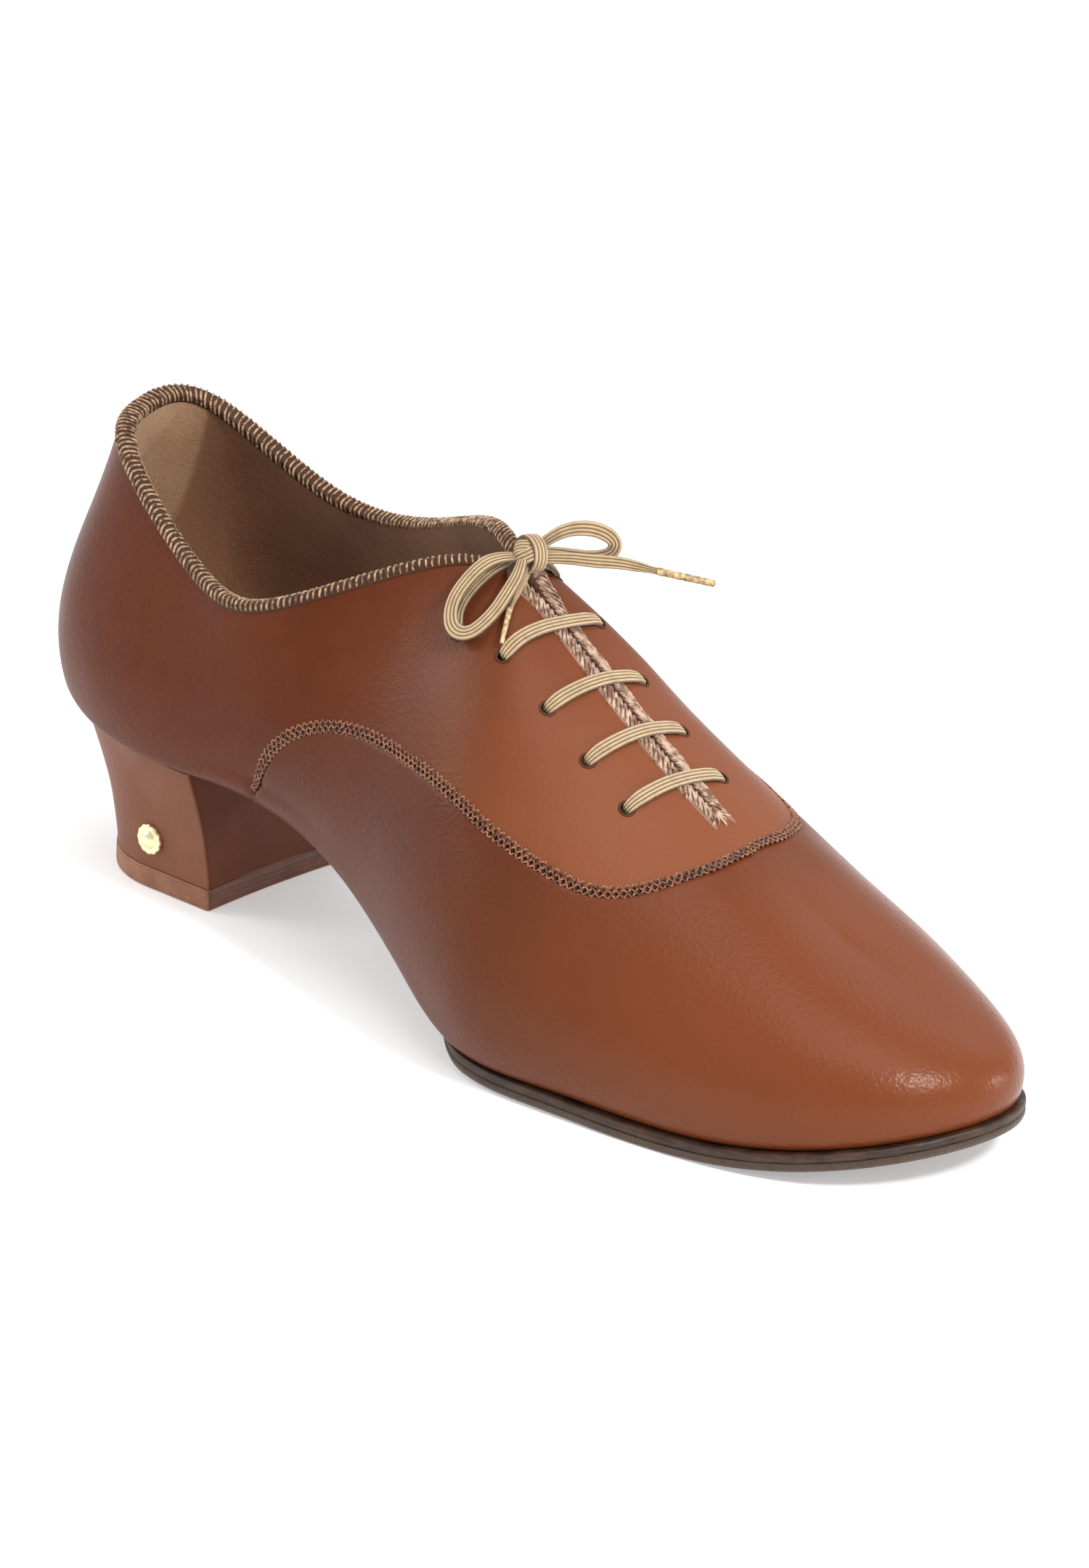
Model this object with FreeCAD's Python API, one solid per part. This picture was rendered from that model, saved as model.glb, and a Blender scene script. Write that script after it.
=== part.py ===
import FreeCAD, Part
import math
import os

# Right-foot lace-up leather dance shoe with a covered 40 mm heel, in millimetres.
# X runs from the heel to the toe, Y from the outer to the inner side, Z up from the floor.
# The upper is drawn on a last: a skin of ribs, each a cubic curve that climbs from the
# feather line, where the upper meets the sole, to the topline, the lacing slit or the ridge.
# Rib number w goes 0 (heel back), 8 (toe tip), 16 (heel back again): 0 to 8 is the outer
# side and 8 to 16 the inner side. Height t goes 0 at the feather to 1 at the top, and
# from 0 to -1 under the foot, where the lasting margin is.

V = FreeCAD.Vector
UP = V(0, 0, 1)
ACROSS = V(0, 1, 0)

# ---- driving dimensions -------------------------------------------------------------
ORIGIN = V(139.8, -3.0, 0)          # middle of the footprint, measured from the heel back

RIBS = 16
FEATHER_PLAN = [(1, 0), (12, -23), (47, -32.5), (88, -28), (128, -33.5), (165.5, -46),
                (200.5, -44.5), (257.5, -31), (279, 6), (253, 30), (226.5, 38.5),
                (185.5, 39.5), (142, 25.5), (95, 22), (48, 29), (14.5, 22)]
FEATHER_HEIGHT = [(0, 48), (40, 39.5), (75, 37), (110, 26.5), (150, 8.4), (190, 5),
                  (235, 5), (285, 14.5)]
TOPLINE_OUTER = [(13, 0, 111.5), (26.5, -17, 105.5), (58, -25, 87), (88, -26, 87.5),
                 (122, -7.5, 102)]
TOPLINE_INNER = [(122.5, 10, 105.5), (92, 23.5, 96), (53.5, 27, 92), (19, 19, 109.5)]
RIDGE = [(147, 94.5), (179, 72), (206.5, 55), (232, 42)]
WALL_LEAN = [(0, 15), (90, 23), (180, 26), (290, 21)]   # degrees outwards at the feather
TOPLINE_LEAN = 16                                       # degrees inwards at the topline
LOW_FULLNESS = 0.35
HIGH_FULLNESS = 0.44
MARGIN = 12.0                       # lasting margin folded in under the foot
WAIST_FULLNESS = 2.4                # how far the corner of the waist's wide turn stands out

# Layers, as distances outwards from the skin.
QUARTER = (-0.4, 0.45)
VAMP = (-1.3, -0.5)
STIFFENER = (-2.05, -1.4)
LINING = (-2.95, -2.15)

# The vamp seam as (rib, height), outer side and inner side, from the feather to the ridge.
SEAM_OUTER = [(2.88, 0), (2.97, 0.24), (3.2, 0.47), (3.6, 0.565), (4.1, 0.535), (4.7, 0.51),
              (5.3, 0.53), (5.85, 0.57), (6.25, 0.69), (6.6, 0.83), (7, 1)]
SEAM_INNER = [(2.75, 0), (2.84, 0.24), (3.05, 0.47), (3.45, 0.565), (4, 0.54), (4.55, 0.515),
              (5, 0.53), (5.5, 0.57), (5.9, 0.68), (6.35, 0.82), (7, 1)]
SLIT_END = 6.69                     # rib where the lacing slit stops on the ridge
SLIT_HALF_GAP = 0.8
THROAT = 4.42                       # rib where the topline turns down into the slit
LAP = 0.1                           # how far the vamp runs on under the quarters, in height

EYELET_X = [135.5, 149, 162.5, 175, 187]
EYELET_Y = (-16.8, 10.2)            # rows of the outer and the inner eyelets
EYELET_SKEW = 3.6                   # the inner eyelets sit this much nearer the toe
EYELET_RADIUS = 2.1
LINING_EYELET_SLACK = 0.4           # the lace bends inwards here, so these holes are wider

SOLE_EDGE = 2.4                     # the sole stands out this far at the forepart
WAIST_INSET = 10.0                  # and is tucked in this far at the waist
SOLE_THICKNESS = 4.4
TREAD_THICKNESS = 2.1
SEAT_DROP = 1.6                     # the heel seat lies under the quarter's margin
INSOLE_LOW = 1.2
INSOLE_HIGH = 3.2
SOCK = 1.5
HEEL_PAD = 2.0

HEEL_RIB = 2.27                     # the heel wraps this many ribs each side of the back
HEEL_INSET = 0.8
HEEL_BACK = 14.8
HEEL_BREAST = 60.5
HEEL_HALF_WIDTH = 22.8
HEEL_ROUND = 24.0
LIFT = 5.5
COVER = 0.9
BREAST_TOP = 57.0
SOLE_START = BREAST_TOP + 1.4
STUD = V(41.5, -23.4, 13.5)
STUD_RADIUS = 4.0
STUD_PIN = 0.8

LACE = 1.8                          # tube that stands for the flat lace through the eyelets
LACE_FREE = 2.6                     # and for its loops and ends, as loose as they lie
KNOT = V(139.5, 1, 105.9)
KNOT_RADII = (5.4, 4.8, 3.6)        # along the slit, across it and away from the shoe


# ---- small curves -------------------------------------------------------------------
def solve(matrix, right):
    """Solve a small diagonally dominant system; the right side may hold vectors."""
    size = len(right)
    for i in range(size):
        for j in range(i + 1, size):
            factor = matrix[j][i] / matrix[i][i]
            if factor:
                matrix[j] = [b - a * factor for a, b in zip(matrix[i], matrix[j])]
                right[j] = right[j] - right[i] * factor
    answer = [None] * size
    for i in reversed(range(size)):
        total = right[i]
        for j in range(i + 1, size):
            total = total - answer[j] * matrix[i][j]
        answer[i] = total * (1.0 / matrix[i][i])
    return answer


def spline(points, closed=False):
    """Cubic spline through points at whole-number parameters, natural or closed."""
    count = len(points)
    matrix = [[0.0] * count for _ in points]
    right = [points[0] * 0.0 for _ in points]
    for i in range(count):
        if not closed and i in (0, count - 1):
            matrix[i][i] = 1.0
            continue
        before, after = (i - 1) % count, (i + 1) % count
        matrix[i][i] = 4.0
        matrix[i][before] += 1.0
        matrix[i][after] += 1.0
        right[i] = (points[after] - points[i] * 2 + points[before]) * 6
    bend = solve(matrix, right)

    def at(s):
        if closed:
            s = s % count
            i = min(int(s), count - 1)
        else:
            i = min(max(int(s), 0), count - 2)
        j = (i + 1) % count
        u = s - i
        return (bend[i] * ((1 - u) ** 3 / 6) + bend[j] * (u ** 3 / 6)
                + (points[i] - bend[i] * (1 / 6)) * (1 - u) + (points[j] - bend[j] * (1 / 6)) * u)
    return at


def profile(points):
    """Natural cubic y(x) through unevenly spaced points."""
    xs = [p[0] for p in points]
    ys = [p[1] for p in points]
    steps = [b - a for a, b in zip(xs, xs[1:])]
    count = len(xs)
    matrix = [[0.0] * count for _ in xs]
    right = [0.0] * count
    matrix[0][0] = matrix[-1][-1] = 1.0
    for i in range(1, count - 1):
        matrix[i][i - 1] = steps[i - 1]
        matrix[i][i] = 2 * (steps[i - 1] + steps[i])
        matrix[i][i + 1] = steps[i]
        right[i] = 6 * ((ys[i + 1] - ys[i]) / steps[i] - (ys[i] - ys[i - 1]) / steps[i - 1])
    bend = solve(matrix, right)

    def at(x):
        i = max([0] + [k for k in range(count - 1) if xs[k] < x])
        a, b, h = xs[i + 1] - x, x - xs[i], steps[i]
        return ((bend[i] * a ** 3 + bend[i + 1] * b ** 3) / (6 * h)
                + (ys[i] / h - bend[i] * h / 6) * a + (ys[i + 1] / h - bend[i + 1] * h / 6) * b)
    return at


def unit(vector):
    return vector * (1.0 / vector.Length)


def mix(a, b, amount):
    return a * (1 - amount) + b * amount


def smooth(value, start, end):
    """0 before start, 1 after end, and an easy curve between."""
    amount = min(max((value - start) / (end - start), 0.0), 1.0)
    return amount * amount * (3 - 2 * amount)


# ---- the last -----------------------------------------------------------------------
feather_plan = spline([V(x, y, 0) for x, y in FEATHER_PLAN], closed=True)
feather_height = profile(FEATHER_HEIGHT)
wall_lean = profile(WALL_LEAN)
ridge_points = [V(x, 0, z) for x, z in RIDGE]
top_ring = spline([V(*p) for p in TOPLINE_OUTER] + ridge_points + ridge_points[-2::-1]
                  + [V(*p) for p in TOPLINE_INNER], closed=True)
ridge_line = spline([V(RIDGE[0][0] - 26, 0, RIDGE[0][1] + 13)] + ridge_points)


def side_rib(w):
    """The same rib counted from the heel on either side, 0 to 8."""
    w = w % RIBS
    return RIBS - w if w > RIBS / 2 else w


def feather(w):
    """Feather point of a rib and its outward direction in plan."""
    small = 1e-3
    point = feather_plan(w)
    along = unit(feather_plan(w + small) - feather_plan(w - small))
    return V(point.x, point.y, feather_height(point.x)), V(along.y, -along.x, 0)


def top(w):
    """Upper end of a rib: on the topline, or on the ridge where both sides meet."""
    here = top_ring(w)
    middle = (here + top_ring(RIBS - w)) * 0.5
    middle.y = 0
    return mix(here, middle, smooth(side_rib(w), 4.5, 5.3))


def wall(w, t):
    """Point of the skin at or above the feather line."""
    low, out = feather(w)
    high = top(w)
    rib = side_rib(w)
    lean = math.radians(wall_lean(low.x))
    start = out * math.sin(lean) + UP * math.cos(lean)
    place = min(max(rib - 4, 0), 4)
    ridge = unit(ridge_line(place + 1e-3) - ridge_line(place - 1e-3))
    span = low - high
    flat = unit(ACROSS * span.dot(ACROSS) + ridge * span.dot(ridge))
    tilt = math.radians(TOPLINE_LEAN)
    end = unit(mix(out * math.sin(tilt) - UP * math.cos(tilt), flat, smooth(rib, 3, 4.8)))
    first = low + start * (span.Length * LOW_FULLNESS)
    second = high + end * (span.Length * HIGH_FULLNESS)
    return (low * (1 - t) ** 3 + first * (3 * t * (1 - t) ** 2)
            + second * (3 * t * t * (1 - t)) + high * t ** 3)


def waist(x):
    """1 at the waist, where the upper turns under the foot in a wide curve, and 0 elsewhere."""
    return smooth(x, 58, 75) * (1 - smooth(x, 135, 165))


def turn(w):
    """Lowest and highest height of the feather turn, and the corner that it goes round."""
    low, out = feather(w)
    wide = waist(low.x)
    return (mix(-0.2, -0.75, wide), mix(0.03, 0.16, wide),
            low + (out - UP) * (WAIST_FULLNESS * wide))


def margin(w, t):
    """Point of the lasting margin, which follows the bottom of the last."""
    low, out = feather(w)
    spot = low + out * (t * MARGIN)
    return V(spot.x, spot.y, feather_height(spot.x))


def skin(w, t):
    """Point of the skin: the wall, the rounded feather edge or the margin under the foot."""
    start, end, corner = turn(w)
    if t >= end:
        return wall(w, t)
    if t <= start:
        return margin(w, t)
    u = (t - start) / (end - start)
    inner = margin(w, start)
    return inner * (1 - u) ** 2 + corner * (2 * u * (1 - u)) + wall(w, end) * u ** 2


def normal(w, t):
    """Outward direction of the skin."""
    if t > 0.9999 and side_rib(w) > 5.3:
        place = side_rib(w) - 4
        along = ridge_line(min(place + 1e-3, 4)) - ridge_line(place - 1e-3)
        return unit(V(-along.z, 0, along.x))
    small = 2e-3
    around = skin(w + small, t) - skin(w - small, t)
    climb = skin(w, min(t + small, 1.0)) - skin(w, max(t - small, -1.0))
    return unit(climb.cross(around)) * -1


def place(w, t, out):
    return skin(w, t) + normal(w, t) * out


def locate(x, y):
    """Rib and height of the skin point over a place on the top of the forepart."""
    w = 5.5 if y < 0 else 10.5
    t = 0.8
    small = 1e-3
    for _ in range(25):
        here = skin(w, t)
        by_w = (skin(w + small, t) - here) * (1 / small)
        by_t = (skin(w, t + small) - here) * (1 / small)
        dx, dy = x - here.x, y - here.y
        area = by_w.x * by_t.y - by_w.y * by_t.x
        w += 0.7 * (dx * by_t.y - dy * by_t.x) / area
        t += 0.7 * (dy * by_w.x - dx * by_w.y) / area
        t = min(max(t, 0.4), 0.9985)
    return w, t


# ---- panels of leather and lining ---------------------------------------------------
def knots(count, degree):
    return list(range(count - degree + 1)), [degree + 1] + [1] * (count - degree - 1) + [degree + 1]


def patch_face(grid):
    """Face whose surface follows a grid of points, cubic where it has enough of them."""
    degree_u = min(3, len(grid) - 1)
    degree_v = min(3, len(grid[0]) - 1)
    knots_u, counts_u = knots(len(grid), degree_u)
    knots_v, counts_v = knots(len(grid[0]), degree_v)
    surface = Part.BSplineSurface()
    surface.buildFromPolesMultsKnots(grid, counts_u, counts_v, knots_u, knots_v,
                                     False, False, degree_u, degree_v)
    return surface.toShape()


def sheet(mapping, layer, columns, rows, walls):
    """Faces of one sheet: both skins and the named edges, as a list to be sewn."""
    inner, outer = [], []
    for i in range(columns + 1):
        inner.append([])
        outer.append([])
        for j in range(rows + 1):
            w, t = mapping(i / columns, j / rows)
            point, out = skin(w, t), normal(w, t)
            inner[-1].append(point + out * layer[0])
            outer[-1].append(point + out * layer[1])
    faces = [patch_face(inner), patch_face(outer)]
    edges = {"back": (inner[0], outer[0]), "front": (inner[-1], outer[-1]),
             "low": ([c[0] for c in inner], [c[0] for c in outer]),
             "high": ([c[-1] for c in inner], [c[-1] for c in outer])}
    faces += [patch_face([edges[name][0], edges[name][1]]) for name in walls]
    return faces


def sew(faces):
    shape = Part.Compound(faces)
    shape.sewShape(0.005)
    solid = Part.Solid(shape.Shells[0])
    return solid if solid.Volume > 0 else solid.reversed()


def on_side(rib, inner_side):
    return RIBS - rib if inner_side else rib


def walk(stops, fraction):
    """Easy point along a list of equally weighted stops, each a tuple of numbers."""
    position = fraction * (len(stops) - 1)
    i = min(int(position), len(stops) - 2)
    u = position - i
    return [a * (1 - u) + b * u for a, b in zip(stops[i], stops[i + 1])]


def column_height(low, high, v):
    """Height along a column, with close rows round the feather edge when it has one."""
    under = smooth(-low, 0, 0.5)
    first = mix(low + 0.15 * (high - low), -0.15, under)
    second = mix(low + 0.35 * (high - low), min(0.06, -0.15 + 0.6 * (high + 0.15)), under)
    if v < 0.15:
        return mix(low, first, v / 0.15)
    if v < 0.35:
        return mix(first, second, (v - 0.15) / 0.2)
    return mix(second, high, (v - 0.35) / 0.65)


def columns_map(stops, inner_side):
    """Mapping whose columns run between paired stops: low rib, low height, high rib, height."""
    def mapping(u, v):
        low_rib, low, high_rib, high = walk(stops, u)
        t = column_height(low, high, v)
        share = (t - low) / (high - low) if high - low > 1e-6 else v
        rib = mix(low_rib, high_rib, share if low > -0.5 else v)
        return on_side(rib, inner_side), min(t, 1.0)
    return mapping


def slit_height(rib, gap=SLIT_HALF_GAP):
    """Height where a panel stops beside the centre line, to leave the slit open."""
    length = (top(rib) - feather(rib)[0]).Length
    return 1 - gap / length * smooth(rib, 4.3, 4.8)


def seam_points(seam, count):
    curve = spline([V(rib, t, 0) for rib, t in seam])
    return [curve(i * (len(seam) - 1) / (count - 1)) for i in range(count)]


SEAM_STOPS = 16
TOP_AFTER_SEAM = [2.95, 3.1, 3.3, 3.55, 3.85, 4.15, 4.45, 4.75, 5.05, 5.35, 5.65, 5.9, 6.15,
                  6.35, 6.53, SLIT_END]


def quarter_stops(seam):
    start = seam[0][0]
    stops = [(start * k / 8, -1.0, start * k / 8, 1.0) for k in range(9)]
    stops.append((start, -0.5, mix(start, TOP_AFTER_SEAM[0], 0.5), 1.0))
    points = seam_points(seam, SEAM_STOPS)
    for point, rib in zip(points, TOP_AFTER_SEAM):
        height = 1.0 if rib == SLIT_END else slit_height(rib)
        stops.append((point.x, point.y, rib, height))
    return stops


def quarters():
    faces = []
    for inner_side, seam in ((False, SEAM_OUTER), (True, SEAM_INNER)):
        mapping = columns_map(quarter_stops(seam), inner_side)
        faces += sheet(mapping, QUARTER, 72, 26, ("low", "high"))
    return drill_eyelets(sew(faces))


def lap_point(point):
    """Edge of the vamp under the quarters, beside a point of the seam."""
    ahead = smooth(point.x, 5.6, 7)
    behind = 1 - smooth(point.x, 2.9, 3.4)
    return (point.x - 0.24 * behind - 0.22 * ahead, min(point.y + LAP * (1 - behind), 1.0))


def vamp_patches(seam, lap, low, inner_side):
    """Two mappings: one up to the lapped edge, one up to the ridge in front of it."""
    stops = []
    for point in seam_points(seam, SEAM_STOPS):
        rib, height = lap_point(point) if lap else (point.x, point.y)
        stops.append((rib, low, rib, max(height, low + 0.03)))
    corner = stops[-1][2]
    front = [(mix(corner, 8, k / 4), low, mix(corner, 8, k / 4), 1.0) for k in range(5)]
    stops[-1] = front[0]
    return columns_map(stops, inner_side), columns_map(front, inner_side)


def vamp_like(layer, lap, low, rows):
    faces = []
    for inner_side, seam in ((False, SEAM_OUTER), (True, SEAM_INNER)):
        rear, front = vamp_patches(seam, lap, low, inner_side)
        faces += sheet(rear, layer, 48, rows, ("back", "low", "high"))
        faces += sheet(front, layer, 14, rows, ("low",))
    return sew(faces)


def vamp():
    return vamp_like(VAMP, True, -1.0, 26)


def vamp_lining():
    return vamp_like((LINING[0], LINING[1]), False, 0.04, 16)


LINING_BACK = 1.0                   # rib where the quarter linings meet the heel grip
LINING_GAP = 0.02


def quarter_lining(inner_side):
    seam = SEAM_INNER if inner_side else SEAM_OUTER
    start = seam[0][0] - LINING_GAP
    stops = [(mix(LINING_BACK, start, k / 6), 0.04, mix(LINING_BACK, start, k / 6), 0.995)
             for k in range(7)]
    for point, rib in zip(seam_points(seam, SEAM_STOPS), TOP_AFTER_SEAM):
        low = min(max(point.y, 0.04) + LINING_GAP, 0.955)
        stops.append((point.x - LINING_GAP, low, rib, slit_height(rib, 1.4) - 0.005))
    panel = sew(sheet(columns_map(stops, inner_side), LINING, 60, 16,
                      ("back", "front", "low", "high")))
    return drill_eyelets(panel, inner_side, LINING_EYELET_SLACK)


def plain_sheet(ribs, heights, layer, columns, rows):
    """Sheet over a run of ribs, with a low and a high edge given by functions of the rib."""
    def mapping(u, v):
        w = mix(ribs[0], ribs[1], u)
        return w, mix(heights[0](w), heights[1](w), v)
    return sew(sheet(mapping, layer, columns, rows, ("back", "front", "low", "high")))


def heel_grip():
    edge = LINING_BACK - LINING_GAP
    return plain_sheet((-edge, edge), (lambda w: 0.04, lambda w: 0.995), LINING, 18, 16)


def heel_counter():
    reach = 2.35

    def high(w):
        return 0.66 - 0.34 * (abs(w) / reach) ** 3
    return plain_sheet((-reach, reach), (lambda w: 0.04, high), STIFFENER, 30, 12)


def toe_puff():
    def high(w):
        return 0.66 - 0.5 * (abs(w - 8) / 1.15) ** 3
    return plain_sheet((8 - 1.15, 8 + 1.15), (lambda w: 0.04, high), STIFFENER, 30, 12)


def facing_stay(inner_side):
    """Strip of stay leather that backs one row of eyelets."""
    def mapping(u, v):
        rib = mix(4.2, 6.6, u)
        return on_side(rib, inner_side), mix(0.7 - 0.02 * u, slit_height(rib, 1.2), v)
    return drill_eyelets(sew(sheet(mapping, STIFFENER, 24, 8, ("back", "front", "low", "high"))),
                         inner_side)


# ---- eyelets ------------------------------------------------------------------------
def eyelet(index, inner_side):
    """Skin coordinates of an eyelet, counted from the throat."""
    x = EYELET_X[index] + (EYELET_SKEW if inner_side else 0)
    return locate(x, EYELET_Y[inner_side])


def drill_eyelets(shape, only_side=None, slack=0.0):
    sides = (False, True) if only_side is None else (only_side,)
    drills = []
    for inner_side in sides:
        for index in range(len(EYELET_X)):
            w, t = eyelet(index, inner_side)
            out = normal(w, t)
            drills.append(Part.makeCylinder(EYELET_RADIUS + slack, 8, skin(w, t) - out * 5, out))
    return shape.cut(drills).Solids[0]


# ---- topline binding ----------------------------------------------------------------
BINDING_DEPTH = 2.6
BINDING = 0.4


def binding():
    """Leather strip folded over the topline, from one throat corner round to the other."""
    count = 84
    rails = [[] for _ in range(8)]
    for i in range(count + 1):
        w = mix(THROAT, RIBS - THROAT, 0) - (2 * THROAT) * i / count
        length = (top(w) - feather(w)[0]).Length
        low = 1 - BINDING_DEPTH / length
        climb = unit(skin(w, 1) - skin(w, 0.98))
        outside, inside = QUARTER[1] + 0.05, LINING[0] - 0.05
        stations = [(low, outside, 0), (low, outside + BINDING, 0), (1, outside + BINDING, 0.4),
                    (1, inside - BINDING, 0.4), (low, inside - BINDING, 0), (low, inside, 0),
                    (1, inside, 0.1), (1, outside, 0.1)]
        for rail, (t, out, rise) in zip(rails, stations):
            rail.append(place(w, t, out) + climb * rise)
    faces = [patch_face([a, b]) for a, b in zip(rails, rails[1:] + rails[:1])]
    for end in (0, -1):
        p = [rail[end] for rail in rails]
        for quad in ((p[0], p[1], p[2], p[7]), (p[7], p[2], p[3], p[6]), (p[6], p[3], p[4], p[5])):
            faces.append(patch_face([[quad[0], quad[1]], [quad[3], quad[2]]]))
    return sew(faces)


# ---- sole, insole and fillings ------------------------------------------------------
def outline(offset):
    """Closed plan outline, a distance outside the feather line that may change along X."""
    points = []
    for i in range(64):
        point, out = feather(i * RIBS / 64)
        spot = point + out * (offset(point.x) if callable(offset) else offset)
        points.append(V(spot.x, spot.y, 0))
    curve = Part.BSplineCurve()
    curve.interpolate(points, PeriodicFlag=True)
    return Part.Wire(curve.toShape())


def slab(low, high, start, end, half_width=70):
    """Solid between two height profiles, straight across the shoe."""
    count = 40
    stations = [start + (end - start) * i / count for i in range(count + 1)]
    edges = []
    corners = []
    for level in (low, high):
        points = [V(x, -half_width, level(x)) for x in stations]
        curve = Part.BSplineCurve()
        curve.interpolate(points)
        edges.append(curve.toShape())
        corners.append((points[0], points[-1]))
    ends = [Part.makeLine(corners[0][k], corners[1][k]) for k in (0, 1)]
    face = Part.Face(Part.Wire(Part.sortEdges(edges + ends)[0]))
    return face.extrude(V(0, 2 * half_width, 0))


def layer(offset, low, high, start, end):
    """Sheet with a plan outline, between two height profiles."""
    base = Part.Face(outline(offset))
    base.translate(V(0, 0, -20))
    return base.extrude(V(0, 0, 100)).common(slab(low, high, start, end)).Solids[0]


def under(drop):
    return lambda x: feather_height(x) - drop


def seat_recess(x):
    """The sole is skived where the quarter's margin lies over it."""
    return SEAT_DROP * (1 - smooth(x, 90, 102))


def sole_edge(x):
    return mix(-WAIST_INSET, SOLE_EDGE, smooth(x, 128, 168))


def midsole():
    return layer(sole_edge, under(SOLE_THICKNESS - TREAD_THICKNESS),
                 lambda x: feather_height(x) - 0.1 - seat_recess(x), SOLE_START, 290)


def tread():
    return layer(sole_edge, under(SOLE_THICKNESS), under(SOLE_THICKNESS - TREAD_THICKNESS),
                 SOLE_START, 290)


def insole_board():
    return layer(lambda x: -4.0 - 5.0 * waist(x), under(-INSOLE_LOW), under(-INSOLE_HIGH), -5, 290)


def pad_rise(x):
    """Extra height of the sock where it passes over the heel pad."""
    return HEEL_PAD * (1 - smooth(x, 56, 76))


def heel_pad():
    low = under(-INSOLE_HIGH - 0.05)
    return layer(-9, low, lambda x: low(x) + 0.05 + HEEL_PAD * (1 - smooth(x, 40, 58)) * 0.95,
                 0, 56)


def sock_liner():
    def low(x):
        return feather_height(x) + INSOLE_HIGH + 0.12 + pad_rise(x)
    return layer(lambda x: -4.3 - 3.0 * waist(x), low, lambda x: low(x) + SOCK, -5, 290)


def forepart_filler():
    return layer(-MARGIN - 1.5, under(-0.02), under(-1.12), 132, 290)


SHANK = (24.0, 130.0, 6.0)          # from, to and half width


def shank():
    return slab(under(0.05), under(-1.15), SHANK[0], SHANK[1], SHANK[2])


def shank_rivets():
    rods = [Part.makeCylinder(1.5, 20, V(x, 0, feather_height(x) - 8)) for x in (78, 118)]
    trim = slab(under(0.05), under(-INSOLE_HIGH), 60, 130)
    return [rod.common(trim).Solids[0] for rod in rods]


# ---- heel ---------------------------------------------------------------------------
def heel_wire(z, inset):
    """Horizontal section of the heel: a round back and sides, and a straight breast."""
    top_z = 48.0
    share = 1 - (1 - min(max((top_z - z) / (top_z - LIFT), 0), 1)) ** 1.7
    points = []
    count = 24
    for i in range(count + 1):
        w = mix(-HEEL_RIB, HEEL_RIB, i / count)
        low_point, out = feather(w)
        high = low_point - out * (HEEL_INSET + inset)
        f = abs(w) / HEEL_RIB
        angle = min(f / 0.6, 1) * math.pi / 2
        x = HEEL_BACK + HEEL_ROUND * (1 - math.cos(angle))
        x += max(f - 0.6, 0) / 0.4 * (HEEL_BREAST - HEEL_BACK - HEEL_ROUND)
        x = mix(x, HEEL_BREAST, 0) + inset * math.cos(angle)
        y = (HEEL_HALF_WIDTH - inset) * math.sin(angle) * (1 if w > 0 else -1) * -1
        breast = mix(BREAST_TOP, HEEL_BREAST, share) - inset
        point = mix(V(high.x, high.y, 0), V(x, y, 0), share)
        if i in (0, count):
            point.x = breast
        points.append(V(min(point.x, breast), point.y, z))
    curve = Part.BSplineCurve()
    curve.interpolate(points)
    return Part.Wire([curve.toShape(), Part.makeLine(points[-1], points[0])])


def heel_loft(inset):
    levels = [52, 46, 40, 33, 25, 17, 11, LIFT]
    loft = Part.makeLoft([heel_wire(z, inset) for z in levels], True, False)
    room = slab(lambda x: -5.0, under(SEAT_DROP), -10, 70)
    return loft.common(room).Solids[0]


def heel_block():
    return heel_loft(COVER)


def heel_cover():
    return heel_loft(0).cut(heel_loft(COVER)).Solids[0]


def heel_lift():
    return Part.Face(heel_wire(LIFT, 0)).extrude(V(0, 0, -LIFT))


PIN_SPOTS = [(24, -11), (24, 11), (50, -14), (50, 14)]


def heel_stud():
    """Small round ornament on the outer side, with a pin pressed into the heel."""
    ball_radius = 7.0
    ball = Part.makeSphere(ball_radius, STUD + ACROSS * (ball_radius - 1.7))
    disc = Part.makeCylinder(STUD_RADIUS, 6, STUD - ACROSS * 3, ACROSS)
    dome = ball.common(disc).cut(heel_loft(0))
    pin = Part.makeCylinder(STUD_PIN, 6, STUD - ACROSS * 0.6, ACROSS)
    return dome.fuse(pin).removeSplitter().Solids[0]


def lift_pins():
    return [Part.makeCylinder(0.9, 12, V(x, y, 0.6)) for x, y in PIN_SPOTS]


NAIL_SPOTS = [(20, -8), (20, 9), (44, -10), (44, 10)]


def heel_nails():
    nails = []
    for x, y in NAIL_SPOTS:
        head = feather_height(x) + INSOLE_HIGH - 0.6
        nails.append(Part.makeCylinder(1.1, 22, V(x, y, head - 22)))
    return nails


def heel_screw():
    head = feather_height(32) + INSOLE_HIGH - 2.1
    shaft = Part.makeCylinder(2.2, 26, V(32, 0, head - 26))
    return shaft.fuse(Part.makeCylinder(4, 1.4, V(32, 0, head))).removeSplitter().Solids[0]


# ---- tongue -------------------------------------------------------------------------
TONGUE_DEPTH = 6.6                  # its top face under the skin, to leave room for the lace
TONGUE = 1.2
TONGUE_LINING = 0.8
TONGUE_FRONT = 197.0
TONGUE_BACK = 127.0
TONGUE_HINGE_GAP = 0.6
TONGUE_SPINE = [(206, 55.3), (190, 64.8), (172, 76.4), (155, 88.2), (138, 98.4), (118, 107.8)]
TONGUE_HALF_WIDTH = [(118, 4.5), (128, 8), (140, 13.5), (170, 17.5), (206, 11.5)]
TONGUE_CROWN = [(118, 13), (128, 15), (140, 18), (170, 25), (206, 42)]


tongue_spine = profile(sorted(TONGUE_SPINE))
tongue_half_width = profile(TONGUE_HALF_WIDTH)
tongue_crown = profile(TONGUE_CROWN)


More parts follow.
